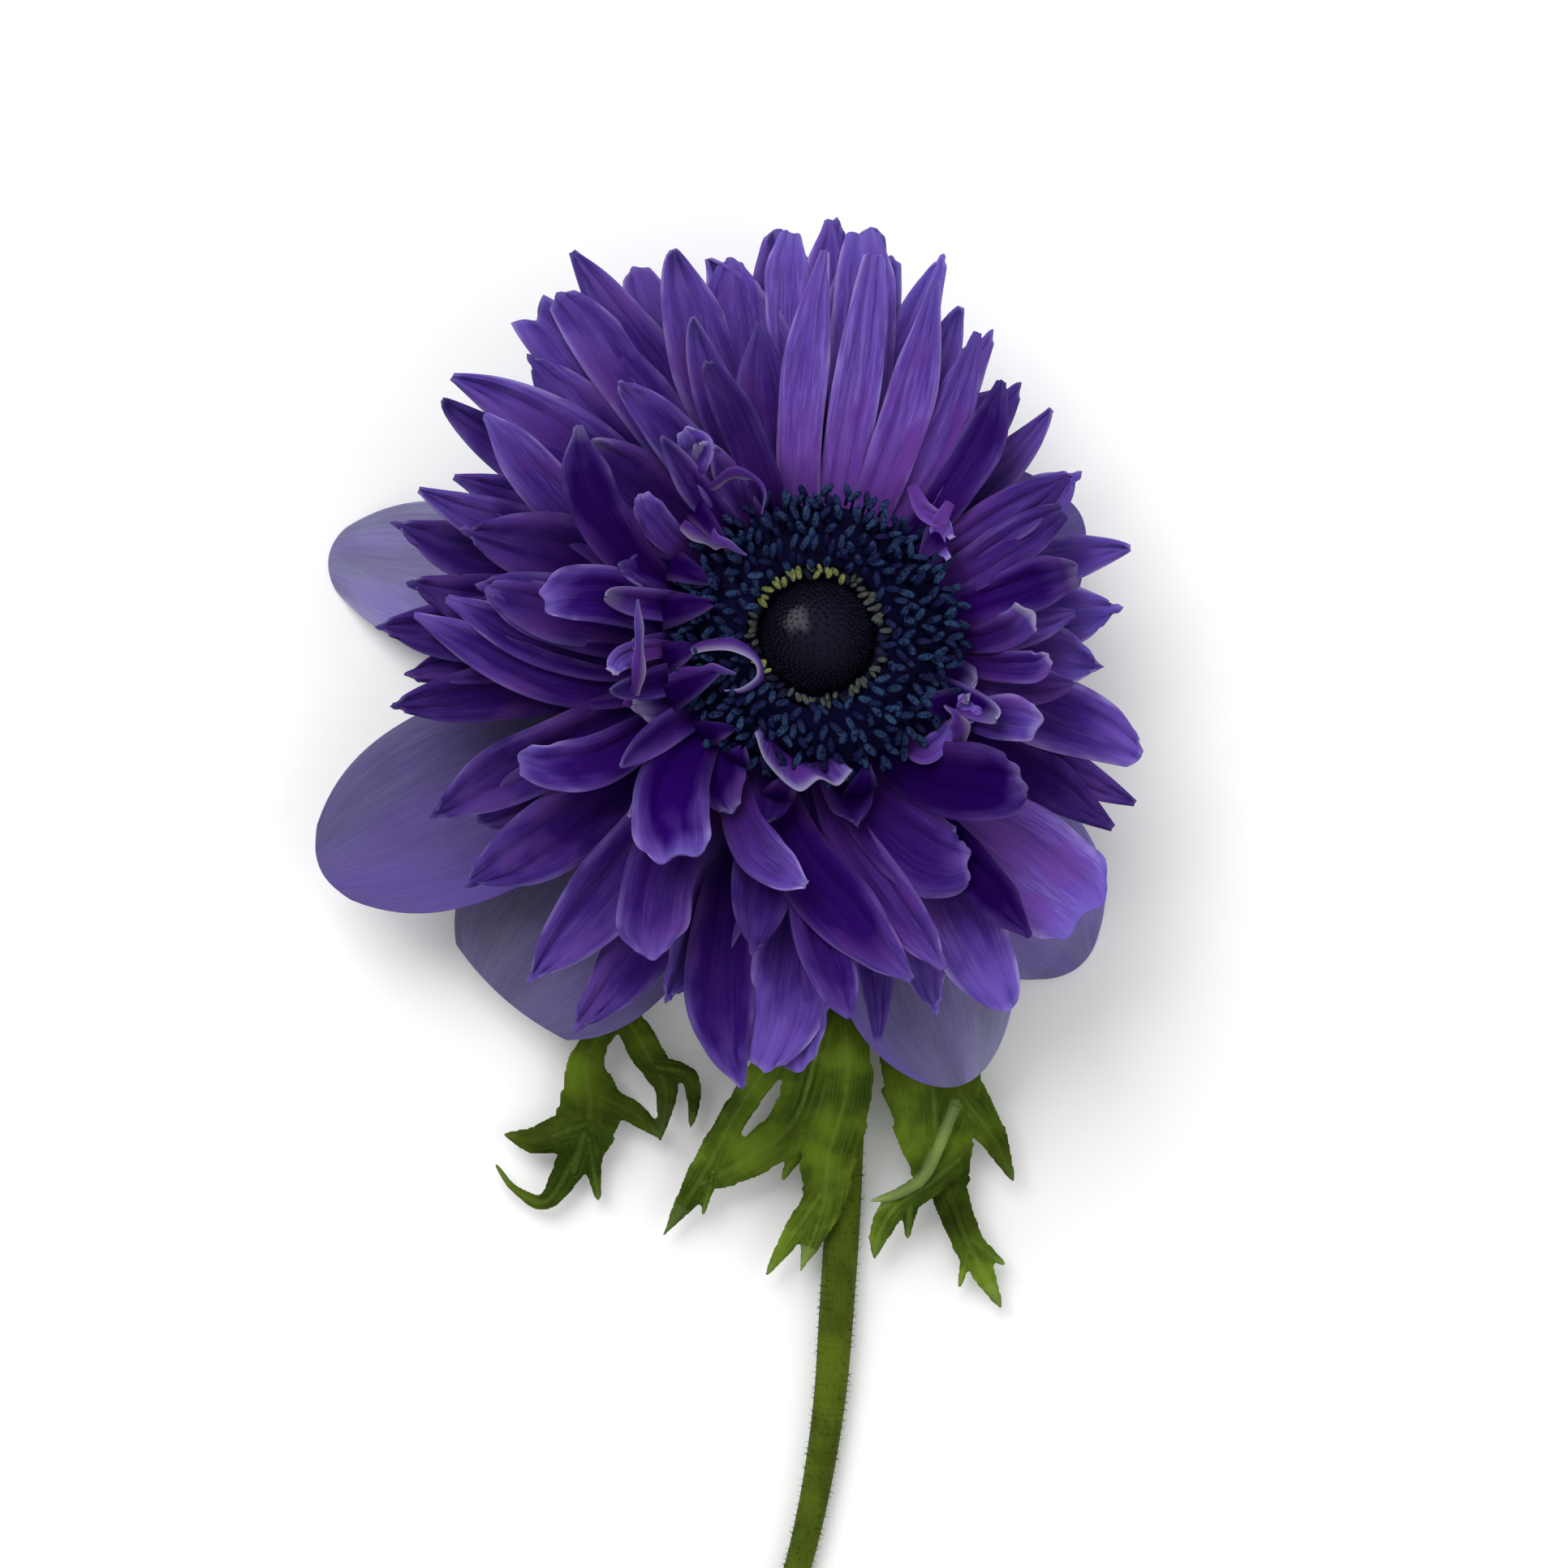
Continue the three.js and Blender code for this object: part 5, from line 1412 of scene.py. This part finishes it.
BRACT_RIGHT = [
    [(5.7, -34.6, 2.4, 2.6), (9.8, -41.5, 4.2, 7), (13, -49.5, 4.8, 12),
     (13.8, -57.6, 4.4, 8.8), (15.4, -64, 3.8, 4.8)],
    [(15, -62.4, 3.9, 4.4), (16.9, -67.8, 3.2, 4), (18.8, -71.6, 2.8, 3.2), (21.2, -76.4, 1.8, 0.8)],
    [(16.4, -51.6, 4.6, 6), (20, -56.4, 4, 3.8), (22.6, -61.8, 3, 0.6)],
    [(17.8, -68.4, 3.2, 2.4), (21.6, -71.4, 2.4, 0.6)],
    [(17.4, -69.6, 3, 2), (16.4, -74, 2, 0.5)],
    [(15.8, -53, 5.6, 1.4), (12.6, -60.4, 6.4, 1.5), (9.4, -62.8, 6, 1.4), (6.2, -63.9, 5.4, 0.5)],
    [(16.4, -59, 4.8, 3), (12.4, -62.2, 5.2, 3.6), (9, -64.6, 4.9, 3.4),
     (7.3, -67.4, 4.4, 2.7), (6.6, -70.6, 3.8, 0.6)],
    [(10.8, -63, 5, 3), (10.4, -68.2, 4.2, 0.6)],
]


def lobe_place(points, length, chance):
    """The place function of a bract lobe, with small forward teeth along both edges."""
    line = [Vector(point) for point in points]
    phase = chance.uniform(0, 1)

    def place(across, along):
        x, y, z, width = curve_point(line, along)
        ahead = curve_ahead(line, along)
        direction = Vector((ahead.x, ahead.y)).normalized()
        tooth = (along * length * TEETH_PER_MM + phase + 0.37 * (across > 0)) % 1
        half = max(0.25, width / 2) * (1 - TOOTH_SHARE * tooth * min(1, 4 * along))
        half *= 1 if along < TAPER_FROM else 1 - TAPER * (along - TAPER_FROM) / TAPER_LENGTH
        height = z + 0.06 * width * across**2 * math.sin(math.pi * along)
        return Vector((x - across * half * direction.y, y + across * half * direction.x, height))

    return place


def melt(bm):
    """Joins overlapping solids into one skin of even cells, and returns it as a bmesh."""
    mesh = bpy.data.meshes.new("straps")
    bm.to_mesh(mesh)
    bm.free()
    carrier = bpy.data.objects.new("straps", mesh)
    bpy.context.collection.objects.link(carrier)
    remesh = carrier.modifiers.new("melt", "REMESH")
    remesh.mode = "VOXEL"
    remesh.voxel_size = BRACT_VOXEL
    remesh.adaptivity = 0
    view = bpy.context.evaluated_depsgraph_get()
    melted = bpy.data.meshes.new_from_object(carrier.evaluated_get(view))
    joined = bmesh.new()
    joined.from_mesh(melted)
    bpy.data.objects.remove(carrier)
    bpy.data.meshes.remove(mesh)
    bpy.data.meshes.remove(melted)
    all_ways = {"use_axis_x": True, "use_axis_y": True, "use_axis_z": True}
    bmesh.ops.smooth_vert(joined, verts=joined.verts, factor=0.5, **all_ways)
    return joined


# %% [markdown]
# The nearest point on the middle lines is found with a tree of sample points. Its distance, as a
# share of the lobe's half width there, runs from 0 on the midrib to 1 at the edge. Narrow lobes,
# the slivers, are paler all along.

# %% Measuring a bract against its lobes
SAMPLES_PER_MM = 4
SLIVER = 1.6
SLIVER_PALE = 0.35
MIDRIB = 0.35
PALE_TIP_FROM = 0.72
LOBE_LENGTH = 12
TONE_PATCH = 0.5
BRACT_GREENS = [(0.022, 0.042, 0.003), (0.098, 0.156, 0.01), (0.15, 0.225, 0.035), (0.24, 0.33, 0.12)]
bract_finish = green_material("bract leaf", BRACT_GREENS, 0.8, 0.55)


def mark_lobes(bm, lobes, tone):
    """Writes each vertex's place across and along its nearest lobe."""
    samples = []
    widest = [max(point[3] for point in points) for points in lobes]
    for number, points in enumerate(lobes):
        line = [Vector(point) for point in points]
        count = int(line_length(points) * SAMPLES_PER_MM)
        for step in range(count + 1):
            x, y, z, width = curve_point(line, step / count)
            samples.append((Vector((x, y, z - BRACT_THICKNESS / 2)), width / 2, step / count, number))
    tree = KDTree(len(samples))
    for index, (point, _, _, _) in enumerate(samples):
        tree.insert(point, index)
    tree.balance()
    shares = bm.verts.layers.float_vector.new("blade_share")
    lengths = bm.verts.layers.float_vector.new("blade_mm")
    look = bm.verts.layers.float_vector.new("blade_look")
    for vert in bm.verts:
        point, index, _ = tree.find(vert.co)
        _, half, along, number = samples[index]
        flat = (vert.co - point).to_2d().length
        share = min(1, flat / max(half, 0.3))
        vein = max(0, 1 - flat / MIDRIB)
        pale = max(0, along - PALE_TIP_FROM) * 0.9 * (half < 1.2)
        if widest[number] < SLIVER and flat < half:
            pale += SLIVER_PALE
        vert[shares] = (share, along, 0)
        vert[lengths] = (flat, along * LOBE_LENGTH, number)
        vert[look] = (tone + TONE_PATCH * noise.noise(0.13 * vert.co), pale, vein)


def make_bract(name, node, lobes, seed, tone):
    """One bract: straps, melted together, measured and finished."""
    chance = random.Random(seed)
    bm = new_blades()
    for points in lobes:
        length = line_length(points)
        place = lobe_place(points, length, chance)
        cells = (8, max(16, int(length * 3)))
        add_blade(bm, cells, place, (4, length), BRACT_THICKNESS, lambda across, along: (tone, 0, 0))
    melted = melt(bm)
    mark_lobes(melted, lobes, tone)
    finish_piece(melted, name, bract_finish, node)


make_bract("left_bract", "bract_left", BRACT_LEFT, 3, 0.3)
make_bract("front_bract", "bract_front", BRACT_FRONT, 4, 0.58)
make_bract("right_bract", "bract_right", BRACT_RIGHT, 6, 0.44)

# %% [markdown]
# ## The stamens
#
# A stamen is a thin filament with an anther at its end: an oblong pollen sac with a groove along
# it. There are more than three hundred, so each has only a few dozen faces. Their rings stand
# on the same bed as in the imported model, leaning out more the further they stand from the dome.

# %% Stamens on their bed
DISC_SEAT = 23.4
STAMEN_BED_TOP = 26.4
STAMEN_RINGS = [
    (8.5, 34, 4.0, 0),
    (9.4, 38, 4.4, 4),
    (10.3, 42, 4.3, 8),
    (11.2, 46, 4.0, 13),
    (12.1, 50, 3.7, 18),
    (13.0, 52, 3.3, 25),
    (13.8, 52, 2.8, 33),
    (14.5, 44, 2.2, 43),
]
FILAMENT_SUNK = 0.8
STAMEN_TURN = 0.25
STAMEN_DRIFT = 0.35
STAMEN_TILT = 10
STAMEN_NOD = (30, 88)
FILAMENT_RADII = (0.2, 0.12)
ANTHER = (0.5, 0.44, 0.98)
BED_PROFILE = [(7.9, DISC_SEAT), (8.6, DISC_SEAT), (10, 25.1), (14.4, 25.1), (14.4, 26), (7.9, 26.4)]


def add_anther(bm, matrix, tone, size=1):
    """An oblong two-lobed sac, placed by a matrix."""
    look = bm.verts.layers.float_vector["blade_look"]
    ball = bmesh.ops.create_uvsphere(bm, u_segments=8, v_segments=5, radius=1)
    for vert in ball["verts"]:
        if abs(vert.co.y) < 0.1 and abs(vert.co.z) < 0.9:
            vert.co.x *= 0.72
        vert[look] = (tone, 0, 0)
    shape = Matrix.Diagonal((*(size * side for side in ANTHER), 1))
    bmesh.ops.transform(bm, matrix=matrix @ shape, verts=ball["verts"])


stamen_bm = new_blades()
spin_profile(stamen_bm, BED_PROFILE)
stamen_chance = random.Random(19)
for ring_number, (ring_radius, count, length, lean) in enumerate(STAMEN_RINGS):
    for index in range(count):
        place = index + ring_number / 2 + stamen_chance.uniform(-STAMEN_TURN, STAMEN_TURN)
        turn = 2 * math.pi * place / count
        radius = ring_radius + stamen_chance.uniform(-STAMEN_DRIFT, STAMEN_DRIFT)
        height = length + stamen_chance.uniform(-0.4, 0.3)
        tilt = math.radians(lean + stamen_chance.uniform(-STAMEN_TILT, STAMEN_TILT))
        foot = Matrix.Translation((radius, 0, STAMEN_BED_TOP - FILAMENT_SUNK))
        stand = Matrix.Rotation(turn, 4, "Z") @ foot
        stand = stand @ Matrix.Rotation(tilt, 4, "Y")
        add_cone(stamen_bm, 4, FILAMENT_RADII, height, stand)
        nod = Matrix.Rotation(math.radians(stamen_chance.uniform(*STAMEN_NOD)), 4, "Y")
        spin = Matrix.Rotation(stamen_chance.uniform(-1, 1), 4, "Z")
        anther = stand @ Matrix.Translation((0, 0, height)) @ spin @ nod
        add_anther(stamen_bm, anther, stamen_chance.random())

ANTHER_DARK = (0.002, 0.001, 0.026, 1)
ANTHER_DUST = (0.018, 0.042, 0.1, 1)
stamen_finish, tree, shader = new_material("blue-black anthers", {"Specular IOR Level": 0.06})
tone = parts(tree, attribute(tree, "blade_look"))["X"]
grains = object_noise(tree, 2600.0)
dust_share = product(tree, soft_step(tree, grains, 0.3, 0.6), tone)
colour = mix_colours(tree, dust_share, ANTHER_DARK, ANTHER_DUST)
gloss = soft_step(tree, grains, 0.3, 0.7, 0.42, 0.75)
dress(tree, shader, {"Base Color": colour, "Roughness": gloss}, grains, 0.4, 0.08)
finish_piece(stamen_bm, "stamen_crown", stamen_finish, "stamens")

# %% [markdown]
# ## The ring of pollen-bearing anthers
#
# The innermost anthers have opened and show their pollen as a broken ring of small dull
# yellow-green beads round the dome. Each bead's tone says how much pollen it shows: bright at the
# upper left of the disc, grey or closed elsewhere.

# %% Pollen ring
POLLEN_BEADS = 78
POLLEN_RADIUS = 7.15
POLLEN_HEIGHT = 26.5
OPEN_LIFT = 0.75
CLOSED_LIFT = 0.3
BEAD_SIZES = (0.6, 0.9)
BEAD_NOD = (30, 90)
BRIGHT_TONES = (0.85, 1)
DULL_TONES = (0.4, 0.6)
CLOSED_TONES = (0, 0.15)
BEAD_DRIFT = 0.45
BRIGHT_ARCS = [(66, 96), (104, 130), (136, 154), (200, 218)]
DULL_ARCS = [(4, 60), (160, 190), (244, 290), (298, 340)]


def in_arcs(angle, arcs):
    """Whether an angle in degrees lies in one of the arcs."""
    return any(start <= angle <= end for start, end in arcs)


pollen_bm = new_blades()
spin_profile(pollen_bm, [(6.7, DISC_SEAT), (7.6, DISC_SEAT), (7.6, 26), (7.3, 26.4), (6.9, 26.4), (6.7, 26)])
pollen_chance = random.Random(47)
for index in range(POLLEN_BEADS):
    angle = (360 * index / POLLEN_BEADS + pollen_chance.uniform(-3, 3)) % 360
    tone = pollen_chance.uniform(*(BRIGHT_TONES if in_arcs(angle, BRIGHT_ARCS) else CLOSED_TONES))
    if in_arcs(angle, DULL_ARCS):
        tone = pollen_chance.uniform(*DULL_TONES)
    lift = CLOSED_LIFT if tone <= CLOSED_TONES[1] else OPEN_LIFT
    height = POLLEN_HEIGHT + lift + pollen_chance.uniform(-0.15, 0.15)
    radius = POLLEN_RADIUS + pollen_chance.uniform(-BEAD_DRIFT, BEAD_DRIFT)
    stand = Matrix.Rotation(math.radians(angle), 4, "Z") @ Matrix.Translation((radius, 0, height))
    roll = Matrix.Rotation(pollen_chance.uniform(-0.8, 0.8), 4, "Z")
    nod = Matrix.Rotation(math.radians(pollen_chance.uniform(*BEAD_NOD)), 4, "Y")
    add_anther(pollen_bm, stand @ roll @ nod, tone, pollen_chance.uniform(*BEAD_SIZES))

CLOSED_BEAD = (0.006, 0.007, 0.035, 1)
DULL_BEAD = (0.06, 0.072, 0.066, 1)
BRIGHT_BEAD = (0.23, 0.27, 0.085, 1)
pollen_sockets = {"Roughness": 0.8, "Specular IOR Level": 0.2}
pollen_finish, tree, shader = new_material("dusty pollen", pollen_sockets)
tone = parts(tree, attribute(tree, "blade_look"))["X"]
grains = object_noise(tree, 3000.0)
colour = mix_colours(tree, soft_step(tree, tone, 0.15, 0.5), CLOSED_BEAD, DULL_BEAD)
colour = mix_colours(tree, soft_step(tree, tone, 0.55, 0.9), colour, BRIGHT_BEAD)
colour = brighten(tree, colour, soft_step(tree, grains, 0.35, 0.65, 0.65, 1.15))
dress(tree, shader, {"Base Color": colour}, grains, 0.5, 0.08)
finish_piece(pollen_bm, "pollen_beads", pollen_finish, "pollen_ring")

# %% [markdown]
# ## The dome of styles
#
# The dome is a crowd of dark styles, each ending in a small soft point, which together look like
# velvet. A smooth core carries several hundred of them, set along a spiral so that they are spread
# evenly, as in a sunflower head. A pale patch on the left is a painted reflection of the light on the
# styles' tips.

# %% Dome
DOME_RADIUS = 6.4
DOME_TOP = 31.5
DOME_TALL = DOME_TOP - DISC_SEAT
DOME_FULLNESS = 0.7
DOME_CORE = 0.93
STYLES = 620
GOLDEN_ANGLE = math.pi * (3 - math.sqrt(5))
CORE_ROWS = 20
STYLE_RADII = (0.24, 0.1)
STYLE_SUNK = 0.15
STYLE_LENGTHS = (0.5, 0.75)
STYLE_UPWARD = 0.35
STYLE_SCATTER = 0.25
# Where the painted reflection lies on the dome, how large it is and how far below the top it reaches.
REFLECTION_MIDDLE = Vector((-2.4, 1.6))
REFLECTION_RADIUS = 1.7
REFLECTION_BELOW_TOP = 4


def dome_section(angle):
    """The core's radius and height where its side has risen by an angle."""
    flat = DOME_CORE * DOME_RADIUS * math.cos(angle) ** DOME_FULLNESS
    return flat, DISC_SEAT + DOME_CORE * DOME_TALL * math.sin(angle)


dome_bm = new_blades()
core = [dome_section(math.pi / 2 * row / CORE_ROWS) for row in range(CORE_ROWS)]
spin_profile(dome_bm, [(0, DISC_SEAT), *core, (0, DISC_SEAT + DOME_CORE * DOME_TALL)])
dome_look = dome_bm.verts.layers.float_vector["blade_look"]


def reflection_share(point):
    """How far a point of the dome lies inside its painted reflection."""
    cloud = 0.35 * noise.noise(0.9 * point)
    return 1.7 * max(0, 1 - (point.to_2d() - REFLECTION_MIDDLE).length / REFLECTION_RADIUS + cloud)


for vert in dome_bm.verts:
    vert[dome_look] = (0.3, reflection_share(vert.co) * (vert.co.z > DOME_TOP - REFLECTION_BELOW_TOP), 0)
dome_chance = random.Random(64)
for index in range(STYLES):
    rise = (index + 0.5) / STYLES
    angle = math.asin(min(1, 0.04 + rise * 0.96))
    turn = index * GOLDEN_ANGLE
    spoke = Vector((math.cos(turn), math.sin(turn), 0))
    flat, height = dome_section(angle)
    foot = spoke * flat + Vector((0, 0, height))
    outward = (spoke * math.cos(angle) + Vector((0, 0, math.sin(angle) + STYLE_UPWARD))).normalized()
    outward += STYLE_SCATTER * Vector([dome_chance.uniform(-1, 1) for _ in range(3)])
    length = dome_chance.uniform(*STYLE_LENGTHS)
    for vert in add_cone(dome_bm, 6, STYLE_RADII, length, leaning(foot, outward), STYLE_SUNK):
        vert[dome_look] = (dome_chance.random(), reflection_share(foot), 0)

STYLE_DARK = (0.003, 0.003, 0.009, 1)
STYLE_LIGHT = (0.01, 0.011, 0.024, 1)
STYLE_REFLECTION = (0.058, 0.053, 0.066, 1)
dome_sockets = {"Roughness": 0.6, "Specular IOR Level": 0.06}
dome_finish, tree, shader = new_material("velvet styles", dome_sockets)
tone, pale, _ = parts(tree, attribute(tree, "blade_look"))
colour = mix_colours(tree, tone, STYLE_DARK, STYLE_LIGHT)
# The pale patch is a painted reflection.
colour = mix_colours(tree, product(tree, pale, 1.2), colour, STYLE_REFLECTION)
dress(tree, shader, {"Base Color": colour}, object_noise(tree, 3500.0), 0.5, 0.06)
finish_piece(dome_bm, "velvet_dome", dome_finish, "pistil_dome")

# %% [markdown]
# ## Measuring the result
#
# Both boxes, the imported model's and the dressed flower's, are printed before the script ends.
# The dressed flower has to stay inside the imported model's box, apart from a small share.

# %% Sizes and the end
visual_box = [list(corner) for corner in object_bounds()]
print("triangles in all", sum(triangle_counts.values()))
print("cad   ", [[round(1000 * value, 2) for value in corner] for corner in cad_box])
print("visual", [[round(1000 * value, 2) for value in corner] for corner in visual_box])
